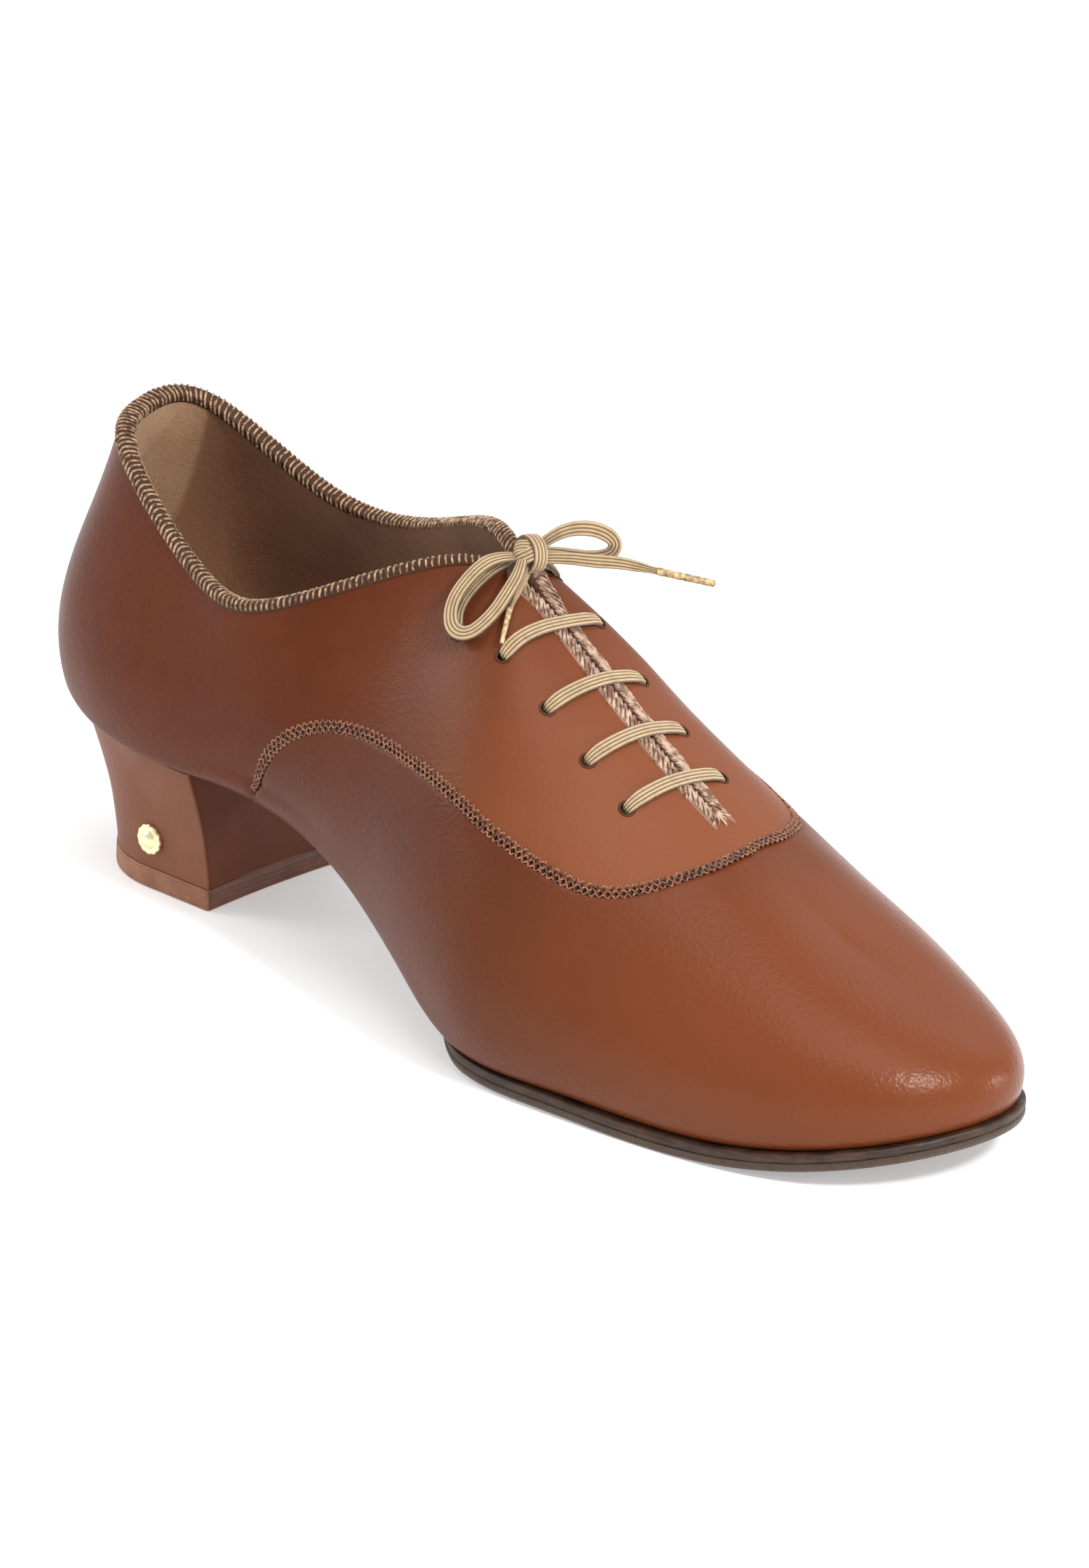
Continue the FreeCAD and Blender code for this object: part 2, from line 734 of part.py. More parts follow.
def tongue_point(x, across, depth):
    """Point of the tongue: along its spine, across it, and a depth under the skin."""
    slope = tongue_spine(x + 0.5) - tongue_spine(x - 0.5)
    down = unit(V(slope, 0, -1))
    y = across * tongue_half_width(x)
    radius = tongue_crown(x) + depth * 0.3
    drop = radius - math.sqrt(radius * radius - y * y)
    return V(x, y, tongue_spine(x)) + down * (depth + drop)


def tongue_sheet(start, end, depth, thickness):
    inner, outer = [], []
    for i in range(25):
        x = mix(start, end, i / 24)
        inner.append([tongue_point(x, k / 8 - 1, depth + thickness) for k in range(17)])
        outer.append([tongue_point(x, k / 8 - 1, depth) for k in range(17)])
    faces = [patch_face(inner), patch_face(outer)]
    for pair in ((inner[0], outer[0]), (inner[-1], outer[-1]),
                 ([c[0] for c in inner], [c[0] for c in outer]),
                 ([c[-1] for c in inner], [c[-1] for c in outer])):
        faces.append(patch_face(list(pair)))
    return sew(faces)


def tongue():
    return tongue_sheet(TONGUE_BACK, TONGUE_FRONT, TONGUE_DEPTH, TONGUE)


def tongue_lining():
    return tongue_sheet(TONGUE_BACK + 0.5, TONGUE_FRONT - 0.5, TONGUE_DEPTH + TONGUE + 0.05,
                        TONGUE_LINING)


def tongue_base():
    """The tongue's front edge, stitched down under the end of the slit."""
    start = TONGUE_FRONT + TONGUE_HINGE_GAP
    return tongue_sheet(start, start + 7, TONGUE_DEPTH, TONGUE)


# ---- lace ---------------------------------------------------------------------------
def tube(points, diameter, label, fillet=0.45):
    """Round tube along straight runs joined by tangent arcs."""
    edges = []
    start = points[0]
    radii = []
    for before, corner, after in zip(points, points[1:], points[2:]):
        back, ahead = unit(before - corner), unit(after - corner)
        half_turn = (math.pi - back.getAngle(ahead)) / 2
        run = min((before - corner).Length, (after - corner).Length)
        reach = fillet * run
        radii.append(reach / math.tan(half_turn))
        first, last = corner + back * reach, corner + ahead * reach
        centre_way = unit(back + ahead)
        centre = corner + centre_way * (radii[-1] / math.cos(half_turn))
        middle = centre - centre_way * radii[-1]
        edges += [Part.makeLine(start, first), Part.Arc(first, middle, last).toShape()]
        start = last
    edges.append(Part.makeLine(start, points[-1]))
    path = Part.Wire(edges)
    ring = Part.Wire(Part.makeCircle(diameter / 2, points[0], points[1] - points[0]))
    solid = path.makePipeShell([ring], True, False)
    expected = math.pi * diameter ** 2 / 4 * path.Length
    print(f"{label}: {path.Length:.1f} mm long, radii "
          + " ".join(f"{r:.1f}" for r in radii) + f", volume ratio {solid.Volume / expected:.3f}")
    return solid


LACE_OVER = QUARTER[1] + 0.45 + LACE / 2
LACE_UNDER = LINING[0] - 0.15 - LACE / 2


def eyelet_point(index, inner_side, out):
    w, t = eyelet(index, inner_side)
    return place(w, t, out)


def over_slit(outer_x, inner_x, out):
    """Three points that carry the lace across the slit, from the outer to the inner side."""
    points = []
    for share in (0.25, 0.51, 0.76):
        w, t = locate(mix(outer_x, inner_x, share), mix(*EYELET_Y, share))
        points.append(place(w, t, out))
    return points


def bar(index):
    """One lace bar on top, from the outer to the inner eyelet."""
    across = over_slit(EYELET_X[index], EYELET_X[index] + EYELET_SKEW, LACE_OVER + 0.2)
    return ([eyelet_point(index, False, LACE_OVER)] + across
            + [eyelet_point(index, True, LACE_OVER)])


def crossing(index):
    """The lace below, from an inner eyelet back to the next outer one."""
    across = over_slit(EYELET_X[index - 1], EYELET_X[index] + EYELET_SKEW, LACE_UNDER - 0.1)
    return ([eyelet_point(index, True, LACE_UNDER)] + across[::-1]
            + [eyelet_point(index - 1, False, LACE_UNDER)])


def long_run():
    """The lace below the outer facing, from the throat eyelet to the one nearest the toe."""
    points = [eyelet_point(0, False, LACE_UNDER)]
    for x in (143, 155, 168, 180):
        w, t = locate(x, EYELET_Y[False] - 3.6)
        points.append(place(w, t, LACE_UNDER - 0.1))
    return points + [eyelet_point(len(EYELET_X) - 1, False, LACE_UNDER)]


LEG_OUTER = [(135.2, -4.3, 103.2), (133.5, -11, 99), (132.9, -15.3, 94.3)]


def lace():
    """The lace from the knot down one side, across every bar, and up to the knot again."""
    points = [KNOT + V(-2.5, -1.5, -1.6)] + [V(*p) for p in LEG_OUTER]
    points += [eyelet_point(0, False, LACE_OVER + 0.4)] + long_run()
    for index in (4, 3, 2, 1):
        points += bar(index)
        if index > 1:
            points += crossing(index)
    points.append(eyelet_point(1, True, LACE_UNDER))
    points.append(eyelet_point(0, True, LACE_UNDER))
    points += [eyelet_point(0, True, LACE_OVER + 1.5), KNOT + V(1, 3.6, -2.4)]
    return clear_of_bow(tube(points, LACE, "lace").cut(knot()))


def knot():
    """The tied knot, a lump with its flat side on the facings."""
    ball = Part.makeSphere(1)
    stretch = FreeCAD.Matrix()
    stretch.scale(*KNOT_RADII)
    lump = ball.transformGeometry(stretch)
    lump.rotate(V(0, 0, 0), ACROSS, 32)
    lump.translate(KNOT)
    return lump


# Routes of the bow: each loop leaves the knot and comes back to it, each end runs to its
# aglet. They are measured like everything else, from the heel back.
LOOP_OUTER = [(138.4, -2.2, 105), (137.0, -7.4, 106.2), (134.8, -12.2, 103.2),
              (132.9, -17.2, 97.0), (135.0, -19.7, 91.4), (140.6, -19.6, 91.2),
              (143.4, -14.6, 95.8), (143.3, -9.4, 100.4), (142.6, -5.5, 103.2),
              (140.4, -2.2, 105)]
LOOP_INNER = [(139.9, 3.0, 106.4), (142.4, 6.0, 109.6), (146.0, 9.4, 111.3), (149.8, 12.9, 110.9),
              (152.6, 15.6, 108.3), (151.9, 15.2, 105.0), (148.6, 12.2, 103.9),
              (145.0, 8.8, 104.5), (142.2, 5.4, 105.3), (140.2, 2.0, 105.7)]
END_OUTER = [(138.8, 3.2, 106.4), (140.4, 0.5, 103.6), (141.8, -3.3, 100.7), (143.3, -7.3, 98.6),
             (144.7, -10.7, 96.6)]
AGLET_OUTER = (END_OUTER[-1], (148.5, -17.2, 90.9))
END_INNER = [(142.0, 1.6, 104.8), (146.8, 5.4, 105.2), (151.2, 9.4, 104.6), (155.4, 13.6, 104.3),
             (158.6, 16.9, 103.3), (161.6, 19.4, 102.5)]
AGLET_INNER = (END_INNER[-1], (171.4, 28.4, 99.8))
AGLET = 1.9


def largest(shape):
    return max(shape.Solids, key=lambda solid: solid.Volume)


def strand(route, label):
    """A loop or end of the bow, cut off where the knot holds it."""
    return largest(tube([V(*p) for p in route], LACE_FREE, label).cut(knot()))


def clear_of_bow(shape):
    """The lace or an end of it, nibbled where the outer loop presses on it."""
    loop = tube([V(*p) for p in LOOP_OUTER], LACE_FREE + 0.2, "room for the outer loop")
    return largest(shape.cut(loop))


def loose_end(route, ends, label):
    """An end of the bow, up to its aglet."""
    return largest(clear_of_bow(strand(route, label)).cut(aglet(ends)))


def aglet(ends):
    start, stop = V(*ends[0]), V(*ends[1])
    body = Part.makeCylinder(AGLET / 2, (stop - start).Length, start, stop - start)
    return body.makeChamfer(0.35, [body.Edges[0]]) if body.Edges else body


def bar_tack():
    """Short row of stitches that closes the end of the slit."""
    half_width, half_length = 2.6, 0.8
    inner, outer = [], []
    for i in range(9):
        y = mix(-half_width, half_width, i / 8)
        inner.append([])
        outer.append([])
        for j in range(3):
            x = 198.4 + half_length * (j - 1)
            w, t = locate(x, y if abs(y) > 0.2 else 0.2)
            inner[-1].append(place(w, t, QUARTER[1] + 0.06))
            outer[-1].append(place(w, t, QUARTER[1] + 0.66))
    faces = [patch_face(inner), patch_face(outer), patch_face([inner[0], outer[0]]),
             patch_face([inner[-1], outer[-1]])]
    for k in (0, -1):
        faces.append(patch_face([[c[k] for c in inner], [c[k] for c in outer]]))
    return sew(faces)


# ---- writing ------------------------------------------------------------------------
def save(name, shape):
    """Write one sub-part, moved so that the origin is the middle of the footprint."""
    moved = [solid.translated(ORIGIN * -1) for solid in shape.Solids]
    result = moved[0] if len(moved) == 1 else Part.Compound(moved)
    result.exportStep(f"parts/{name}.step")
    box = result.BoundBox
    print(f"{name}: solids {len(result.Solids)} valid {result.isValid()} volume {result.Volume:.0f} "
          f"x {box.XMin:.1f} {box.XMax:.1f} y {box.YMin:.1f} {box.YMax:.1f} "
          f"z {box.ZMin:.1f} {box.ZMax:.1f}")


def sole_and_heel():
    """The bottom of the shoe, with a hole in each piece for every fastener through it."""
    fasteners = {"heel_stud": heel_stud(), "lift_pins": Part.Compound(lift_pins()),
                 "heel_nails": Part.Compound(heel_nails()), "heel_screw": heel_screw(),
                 "shank_rivets": Part.Compound(shank_rivets())}
    pierced = {
        "insole_board": (insole_board(), ("heel_nails", "heel_screw", "shank_rivets")),
        "shank": (shank(), ("heel_screw", "shank_rivets")),
        "heel_block": (heel_block(), ("heel_nails", "heel_screw", "lift_pins", "heel_stud")),
        "heel_cover": (heel_cover(), ("heel_stud",)),
        "heel_lift": (heel_lift(), ("lift_pins",)),
    }
    for name, shape in fasteners.items():
        save(name, shape)
    for name, (shape, holes) in pierced.items():
        save(name, shape.cut([fasteners[hole] for hole in holes]))
    heel = heel_loft(0)
    save("midsole", midsole().cut(heel))
    save("tread", tread().cut(heel))
    save("forepart_filler", forepart_filler())
    save("heel_pad", heel_pad())
    save("sock_liner", sock_liner())


def upper():
    save("quarters", quarters())
    save("vamp", vamp())
    save("vamp_lining", vamp_lining())
    save("quarter_lining_outer", quarter_lining(False))
    save("quarter_lining_inner", quarter_lining(True))
    save("heel_grip", heel_grip())
    save("heel_counter", heel_counter())
    save("toe_puff", toe_puff())
    save("facing_stay_outer", facing_stay(False))
    save("facing_stay_inner", facing_stay(True))
    save("topline_binding", binding())
    save("bar_tack", bar_tack())
    save("tongue", tongue())
    save("tongue_lining", tongue_lining())
    save("tongue_base", tongue_base())


def lacing():
    save("lace", lace())
    save("lace_knot", knot())
    save("lace_loop_outer", strand(LOOP_OUTER, "outer loop"))
    save("lace_loop_inner", strand(LOOP_INNER, "inner loop"))
    save("lace_end_outer", loose_end(END_OUTER, AGLET_OUTER, "outer end"))
    save("lace_end_inner", loose_end(END_INNER, AGLET_INNER, "inner end"))
    save("aglet_outer", aglet(AGLET_OUTER))
    save("aglet_inner", aglet(AGLET_INNER))


os.makedirs("parts", exist_ok=True)
sole_and_heel()
upper()
lacing()
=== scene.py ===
import math

import bmesh
import bpy
import numpy as np
from mathutils import Matrix, Vector, noise


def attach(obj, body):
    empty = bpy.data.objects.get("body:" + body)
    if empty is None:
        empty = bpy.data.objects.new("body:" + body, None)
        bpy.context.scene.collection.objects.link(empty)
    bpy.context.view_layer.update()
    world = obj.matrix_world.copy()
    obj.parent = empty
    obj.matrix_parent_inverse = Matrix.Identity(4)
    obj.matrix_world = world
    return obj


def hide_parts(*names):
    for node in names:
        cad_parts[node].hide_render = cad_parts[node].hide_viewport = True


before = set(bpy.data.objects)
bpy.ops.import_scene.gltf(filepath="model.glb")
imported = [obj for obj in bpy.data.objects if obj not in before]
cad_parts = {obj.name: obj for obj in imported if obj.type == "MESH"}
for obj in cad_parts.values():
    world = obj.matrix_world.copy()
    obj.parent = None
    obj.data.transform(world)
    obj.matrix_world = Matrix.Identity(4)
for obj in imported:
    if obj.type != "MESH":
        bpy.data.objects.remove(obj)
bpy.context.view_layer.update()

# Right-foot lace-up leather dance shoe. Lengths in this script are millimetres measured from
# the back of the heel, like the shoe's own drawing, and meshes are written in metres about
# the middle of the footprint. The upper is drawn on a last, a skin of ribs: rib w runs 0
# (heel back), 8 (toe), 16 (heel back) with 0 to 8 on the outer side, and height t runs from
# 0 at the feather line to 1 at the topline, the lacing slit or the ridge.

MM = 0.001
ORIGIN = np.array([139.8, -3.0, 0.0])
RIBS = 16
# The feather line's x and y at each rib and its height along x, then x, y and height of the
# ribs' tops: the topline of both sides from the heel to the slit, and the ridge between them.
FEATHER_PLAN = [(1, 0), (12, -23), (47, -32.5), (88, -28), (128, -33.5), (165.5, -46),
                (200.5, -44.5), (257.5, -31), (279, 6), (253, 30), (226.5, 38.5),
                (185.5, 39.5), (142, 25.5), (95, 22), (48, 29), (14.5, 22)]
FEATHER_HEIGHT = [(0, 48), (40, 39.5), (75, 37), (110, 26.5), (150, 8.4), (190, 5),
                  (235, 5), (285, 14.5)]
TOPLINE_OUTER = [(13, 0, 111.5), (26.5, -17, 105.5), (58, -25, 87), (88, -26, 87.5),
                 (122, -7.5, 102)]
TOPLINE_INNER = [(122.5, 10, 105.5), (92, 23.5, 96), (53.5, 27, 92), (19, 19, 109.5)]
RIDGE = [(147, 0, 94.5), (179, 0, 72), (206.5, 0, 55), (232, 0, 42)]
WALL_LEAN = [(0, 15), (90, 23), (180, 26), (290, 21)]   # degrees from upright, along x
TOPLINE_LEAN = 16
LOW_FULLNESS, HIGH_FULLNESS = 0.35, 0.44
MARGIN = 12.0
WAIST_FULLNESS = 2.4
RIDGE_RIB = 4                       # rib over the back end of the ridge's own line
RIDGE_FROM, RIDGE_TO = 4.5, 5.3     # ribs between which the two sides close into the ridge
TINY = 1e-3                         # step of slopes, in ribs and in shares of the height

QUARTER = (-0.4, 0.45)              # layers, as distances outwards from the skin
VAMP = (-1.3, -0.5)
LINING = (-2.95, -2.15)
# The seam between vamp and quarters on each side, as (rib, height) from the sole to the ridge.
SEAM_OUTER = [(2.88, 0), (2.97, 0.24), (3.2, 0.47), (3.6, 0.565), (4.1, 0.535), (4.7, 0.51),
              (5.3, 0.53), (5.85, 0.57), (6.25, 0.69), (6.62, 0.83), (7.06, 1)]
SEAM_INNER = [(2.75, 0), (2.84, 0.24), (3.05, 0.47), (3.45, 0.565), (4, 0.54), (4.55, 0.515),
              (5, 0.53), (5.55, 0.575), (6.04, 0.69), (6.54, 0.825), (7.06, 1)]
SEAMS = ((SEAM_OUTER, False), (SEAM_INNER, True))
SLIT_END = 6.69                     # rib where the lacing slit stops
SLIT_HALF_GAP = 0.8
THROAT = 4.42                       # rib where the topline's binding stops at the slit
LAP = 0.1                           # share of the height that the vamp goes under the quarters
EYELET_X = [135.5, 149, 162.5, 175, 187]
EYELET_Y = (-16.8, 10.2)            # outer side, inner side
EYELET_SKEW = 3.6                   # the inner side's eyelets lie this much further forward
EYELET_RADIUS = 1.7


# ---- small curves -------------------------------------------------------------------
def spline(values, knots=None):
    """Natural cubic spline through values at the knots, which are 0, 1, 2... if not given."""
    values = np.asarray(values, float)
    x = np.arange(len(values)) if knots is None else np.asarray(knots, float)
    h = np.diff(x)
    matrix, right = np.eye(len(x)), np.zeros_like(values)
    for i in range(1, len(x) - 1):
        matrix[i, i - 1:i + 2] = h[i - 1], 2 * (h[i - 1] + h[i]), h[i]
        right[i] = 6 * ((values[i + 1] - values[i]) / h[i] - (values[i] - values[i - 1]) / h[i - 1])
    bend = np.linalg.solve(matrix, right)

    def at(s):
        s = np.asarray(s, float)
        i = np.clip(np.searchsorted(x, s, side="right") - 1, 0, len(x) - 2)
        a, b, step = x[i + 1] - s, s - x[i], h[i]
        if values.ndim > 1:
            a, b, step = a[..., None], b[..., None], step[..., None]
        return ((bend[i] * a ** 3 + bend[i + 1] * b ** 3) / (6 * step)
                + (values[i] / step - bend[i] * step / 6) * a
                + (values[i + 1] / step - bend[i + 1] * step / 6) * b)
    return at


def ring(points):
    """Closed spline: three laps of the points, read on the middle one."""
    count = len(points)
    laps = spline(np.tile(np.asarray(points, float), (3, 1)), np.arange(3 * count) - count)
    return lambda s: laps(np.mod(s, count))


def profile(points):
    """Smooth curve through (place, value) pairs."""
    return spline([p[1] for p in points], [p[0] for p in points])


def unit(v):
    return v / np.maximum(np.linalg.norm(v, axis=-1, keepdims=True), 1e-12)


def mix(a, b, amount):
    return a * (1 - amount) + b * amount


def smooth(value, start, end):
    amount = np.clip((value - start) / (end - start), 0, 1)
    return amount * amount * (3 - 2 * amount)


def vec(x, y, z):
    return np.stack(np.broadcast_arrays(*[np.asarray(c, float) for c in (x, y, z)]), -1)


def circle(count):
    """Angles of one full turn, evenly spaced."""
    return np.linspace(0, 2 * math.pi, count, endpoint=False)


def travel(line):
    """Way along a line to each of its points."""
    return np.concatenate([[0], np.cumsum(np.linalg.norm(np.diff(line, axis=0), axis=1))])


def square_to(direction, along):
    """Unit vectors close to a direction and square to another."""
    return unit(direction - along * (direction * along).sum(-1, keepdims=True))


# ---- the last -----------------------------------------------------------------------
feather_plan = ring(FEATHER_PLAN)
feather_height = profile(FEATHER_HEIGHT)
wall_lean = profile(WALL_LEAN)
top_ring = ring(TOPLINE_OUTER + RIDGE + RIDGE[-2::-1] + TOPLINE_INNER)
ridge_line = spline([(RIDGE[0][0] - 26, 0, RIDGE[0][2] + 13)] + RIDGE)


def ridge_spot(rib):
    """Place on the ridge's line over a rib."""
    return np.clip(rib - RIDGE_RIB, 0, len(RIDGE))


def side_rib(w):
    """Rib of either side, counted from 0 at the heel to 8 at the toe."""
    w = np.mod(w, RIBS)
    return np.where(w > RIBS / 2, RIBS - w, w)


def feather(w):
    """Point of the feather line, and the level way outwards from it."""
    point = feather_plan(w)
    along = unit(feather_plan(w + TINY) - feather_plan(w - TINY))
    return (vec(point[..., 0], point[..., 1], feather_height(point[..., 0])),
            vec(along[..., 1], -along[..., 0], 0))


def top(w):
    """Top of a rib: the topline, then the lacing slit's line, then the ridge."""
    here = top_ring(w)
    middle = (here + top_ring(RIBS - w)) / 2
    middle[..., 1] = 0
    return mix(here, middle, smooth(side_rib(w), RIDGE_FROM, RIDGE_TO)[..., None])


def wall(w, t):
    """Point of a rib, one cubic curve from the feather line to the top."""
    low, out = feather(w)
    high, rib = top(w), side_rib(w)
    lean = np.radians(wall_lean(low[..., 0]))[..., None]
    start = out * np.sin(lean) + vec(0, 0, 1) * np.cos(lean)
    spot = ridge_spot(rib)
    ridge = unit(ridge_line(spot + TINY) - ridge_line(spot - TINY))
    span = low - high
    flat = unit(vec(0, span[..., 1], 0) + ridge * (span * ridge).sum(-1, keepdims=True))
    tilt = math.radians(TOPLINE_LEAN)
    turn = unit(mix(out * math.sin(tilt) - vec(0, 0, 1) * math.cos(tilt), flat,
                    smooth(rib, 3, 4.8)[..., None]))
    length = np.linalg.norm(span, axis=-1, keepdims=True)
    first = low + start * length * LOW_FULLNESS
    second = high + turn * length * HIGH_FULLNESS
    t = t[..., None]
    return (low * (1 - t) ** 3 + first * 3 * t * (1 - t) ** 2
            + second * 3 * t * t * (1 - t) + high * t ** 3)


def margin(w, t):
    """Point of the margin that is turned in under the foot, where t is below 0."""
    low, out = feather(w)
    spot = low + out * (t * MARGIN)[..., None]
    spot[..., 2] = feather_height(spot[..., 0])
    return spot


def waist(x):
    """1 at the waist, where the upper turns under the foot in a wide curve, and 0 elsewhere."""
    return smooth(x, 58, 75) * (1 - smooth(x, 135, 165))


def skin(w, t):
    """Point of the skin: the wall, the rounded feather edge or the margin under the foot."""
    w, t = np.broadcast_arrays(np.asarray(w, float), np.asarray(t, float))
    low, out = feather(w)
    wide = waist(low[..., 0])
    # the rounding runs from start, on the margin, to end, on the wall
    start, end = mix(-0.2, -0.75, wide), mix(0.03, 0.16, wide)
    corner = low + (out - vec(0, 0, 1)) * (WAIST_FULLNESS * wide)[..., None]
    u = np.clip((t - start) / (end - start), 0, 1)[..., None]
    bend = margin(w, start) * (1 - u) ** 2 + corner * 2 * u * (1 - u) + wall(w, end) * u ** 2
    return np.where((t >= end)[..., None], wall(w, np.maximum(t, 0)),
                    np.where((t <= start)[..., None], margin(w, t), bend))


def normal(w, t):
    """Outward normal of the skin; on the ridge it keeps to the middle plane."""
    w, t = np.broadcast_arrays(np.asarray(w, float), np.asarray(t, float))
    small = 2 * TINY
    around = skin(w + small, t) - skin(w - small, t)
    climb = skin(w, np.minimum(t + small, 1)) - skin(w, np.maximum(t - small, -1))
    free = -unit(np.cross(climb, around))
    spot = ridge_spot(side_rib(w))
    along = ridge_line(np.minimum(spot + TINY, len(RIDGE))) - ridge_line(spot - TINY)
    on_ridge = unit(vec(-along[..., 2], 0, along[..., 0]))
    return np.where(((t > 0.9999) & (side_rib(w) > RIDGE_TO))[..., None], on_ridge, free)


def place(w, t, out):
    """Point so far outwards from the skin."""
    return skin(w, t) + normal(w, t) * np.asarray(out, float)[..., None]


def locate(x, y):
    """Rib and height of the skin point over a place on the top of the forepart."""
    w, t = np.array(5.5 if y < 0 else 10.5), np.array(0.8)
    damping = 0.7
    for _ in range(25):
        here = skin(w, t)
        by_w = (skin(w + TINY, t) - here) / TINY
        by_t = (skin(w, t + TINY) - here) / TINY
        dx, dy = x - here[0], y - here[1]
        area = by_w[0] * by_t[1] - by_w[1] * by_t[0]
        w = w + damping * (dx * by_t[1] - dy * by_t[0]) / area
        t = np.clip(t + damping * (dy * by_w[0] - dx * by_w[1]) / area, 0.4, 0.9985)
    return w, t


def rib_length(w):
    """Length of a rib along the skin, from the feather line to the top."""
    steps = np.linspace(0, 1, 17)
    points = wall(np.asarray(w, float)[..., None] + 0 * steps, steps + 0 * np.asarray(w)[..., None])
    return np.linalg.norm(np.diff(points, axis=-2), axis=-1).sum(-1)


def on_side(rib, inner_side):
    """Rib of the whole ring for a rib of one side."""
    return RIBS - rib if inner_side else rib


def side_name(inner_side):
    return "inner" if inner_side else "outer"


# ---- mesh helpers -------------------------------------------------------------------
def grid_faces(rows, columns, wrap=False):
    """Quads of a grid whose points are numbered row by row; wrap joins the last column."""
    faces = []
    for i in range(rows - 1):
        for j in range(columns - (0 if wrap else 1)):
            k = (j + 1) % columns
            faces.append((i * columns + j, (i + 1) * columns + j,
                          (i + 1) * columns + k, i * columns + k))
    return faces


def tube_faces(count, sides, first=0):
    """Faces of a tube of rings whose points are numbered from first, with both ends closed."""
    faces = grid_faces(count, sides, wrap=True)
    faces += [tuple(range(sides)), tuple(reversed(range((count - 1) * sides, count * sides)))]
    return [tuple(first + k for k in face) for face in faces]


def put(name, data):
    """New object in the scene."""
    thing = bpy.data.objects.new(name, data)
    bpy.context.scene.collection.objects.link(thing)
    return thing


def read(items, attribute, width=3, kind=float):
    """One attribute of all vertices, edges, faces or corners of a mesh, a row for each."""
    found = np.zeros(len(items) * width, kind)
    items.foreach_get(attribute, found)
    return found.reshape(-1, width)


def clean(mesh, merge, fill=False):
    """Merge points nearer than merge, fill holes if asked and turn every face outwards."""
    shape = bmesh.new()
    shape.from_mesh(mesh)
    bmesh.ops.remove_doubles(shape, verts=shape.verts, dist=merge * MM)
    if fill:
        bmesh.ops.holes_fill(shape, edges=[e for e in shape.edges if e.is_boundary], sides=0)
    bmesh.ops.recalc_face_normals(shape, faces=shape.faces)
    shape.to_mesh(mesh)
    shape.free()


def make(name, points, faces, material, body="shoe", slot=None, merge=0.0, uv=None):
    """Mesh piece from millimetre points, smooth shaded, riding on a body."""
    mesh = bpy.data.meshes.new(name)
    mesh.from_pydata(((np.asarray(points, float) - ORIGIN) * MM).tolist(), [], faces)
    if uv is not None:
        corners = read(mesh.loops, "vertex_index", 1, int)[:, 0]
        layer = mesh.uv_layers.new(name="UVMap")
        layer.data.foreach_set("uv", np.asarray(uv, float)[corners].ravel())
    if merge:
        clean(mesh, merge)
    mesh.shade_smooth()
    piece = put(name, mesh)
    mesh.materials.append(material)
    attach(piece, body)
    return piece


def make_tube(name, rings, material, **kinds):
    """Closed piece from a stack of rings of points."""
    rings = np.asarray(rings)
    return make(name, rings.reshape(-1, 3), tube_faces(*rings.shape[:2]), material, **kinds)


def close_holes(piece):
    clean(piece.data, 0.002, fill=True)
    piece.data.shade_smooth()


def shade_by_angle(piece, degrees):
    """Keep crisp the edges that are sharper than an angle."""
    piece.data.set_sharp_from_angle(angle=math.radians(degrees))


def second_look(piece, material, chosen):
    """Give another finish to the faces that chosen picks by their places and facings."""
    mesh = piece.data
    mesh.materials.append(material)
    spots = read(mesh.polygons, "center") / MM + ORIGIN
    picked = chosen(spots, read(mesh.polygons, "normal"))
    mesh.polygons.foreach_set("material_index", picked.astype(np.int32))
    mesh.update()
    return piece


def towards_foot(spots, facing):
    """True for the faces that look inwards, to a line through the middle of the shoe."""
    core = spots * vec(1, 0, 0)
    core[:, 0] = np.clip(core[:, 0], 45, 240)
    core[:, 2] = feather_height(spots[:, 0]) + 14
    return ((spots - core) * facing).sum(-1) < 0


def towards_toe(spots, facing):
    """True for the faces that look forwards, wherever they are."""
    return facing[:, 0] > 0.8


def unevenness(points, size, seed):
    """Gentle unevenness of hand-lasted leather, -1 to 1, at each millimetre point."""
    shift = Vector((seed, -seed, 2 * seed))
    flat = np.asarray(points, float).reshape(-1, 3)
    values = [noise.noise(Vector(p / size) + shift) for p in flat]
    return np.array(values).reshape(np.shape(points)[:-1])


ALL_SIDES = {"start": True, "end": True, "low": True, "high": True}


def shell(name, outer, inner, open_sides, material, **kinds):
    """Closed sheet from an outer and an inner grid, with walls on its open edges.

    open_sides says for each open side that all of it has a wall, or which stretches have."""
    rows, columns = outer.shape[:2]
    count = rows * columns
    faces = [f[::-1] for f in grid_faces(rows, columns)]
    faces += [tuple(count + k for k in f) for f in grid_faces(rows, columns)]
    index = np.arange(count).reshape(rows, columns)
    edges = {"start": index[0], "end": index[-1], "low": index[:, 0], "high": index[:, -1]}
    for side, mask in open_sides.items():
        line = edges[side]
        for k in range(len(line) - 1):
            if mask is True or mask[k]:
                faces.append((line[k], line[k + 1], line[k + 1] + count, line[k] + count))
    points = np.concatenate([outer.reshape(-1, 3), inner.reshape(-1, 3)])
    return make(name, points, faces, material, merge=0.004, **kinds)


# ---- panels ---------------------------------------------------------------------------
# Ribs at the top of the quarter's columns that start on the seam, then millimetres from the
# ends of each column to its fine rows.
TOP_AFTER_SEAM = [2.95, 3.1, 3.3, 3.55, 3.85, 4.15, 4.45, 4.75, 5.05, 5.35, 5.65, 5.9, 6.15,
                  6.35, 6.53, SLIT_END]
NEAR_EDGE = np.array([0, 0.1, 0.25, 0.5, 0.8, 1.15, 1.5, 1.8, 2.1, 2.5, 3.0, 3.4, 3.8, 4.1,
                      4.5, 5.2])
TUCK = -0.9                         # height of the panels' feet, in under the sole


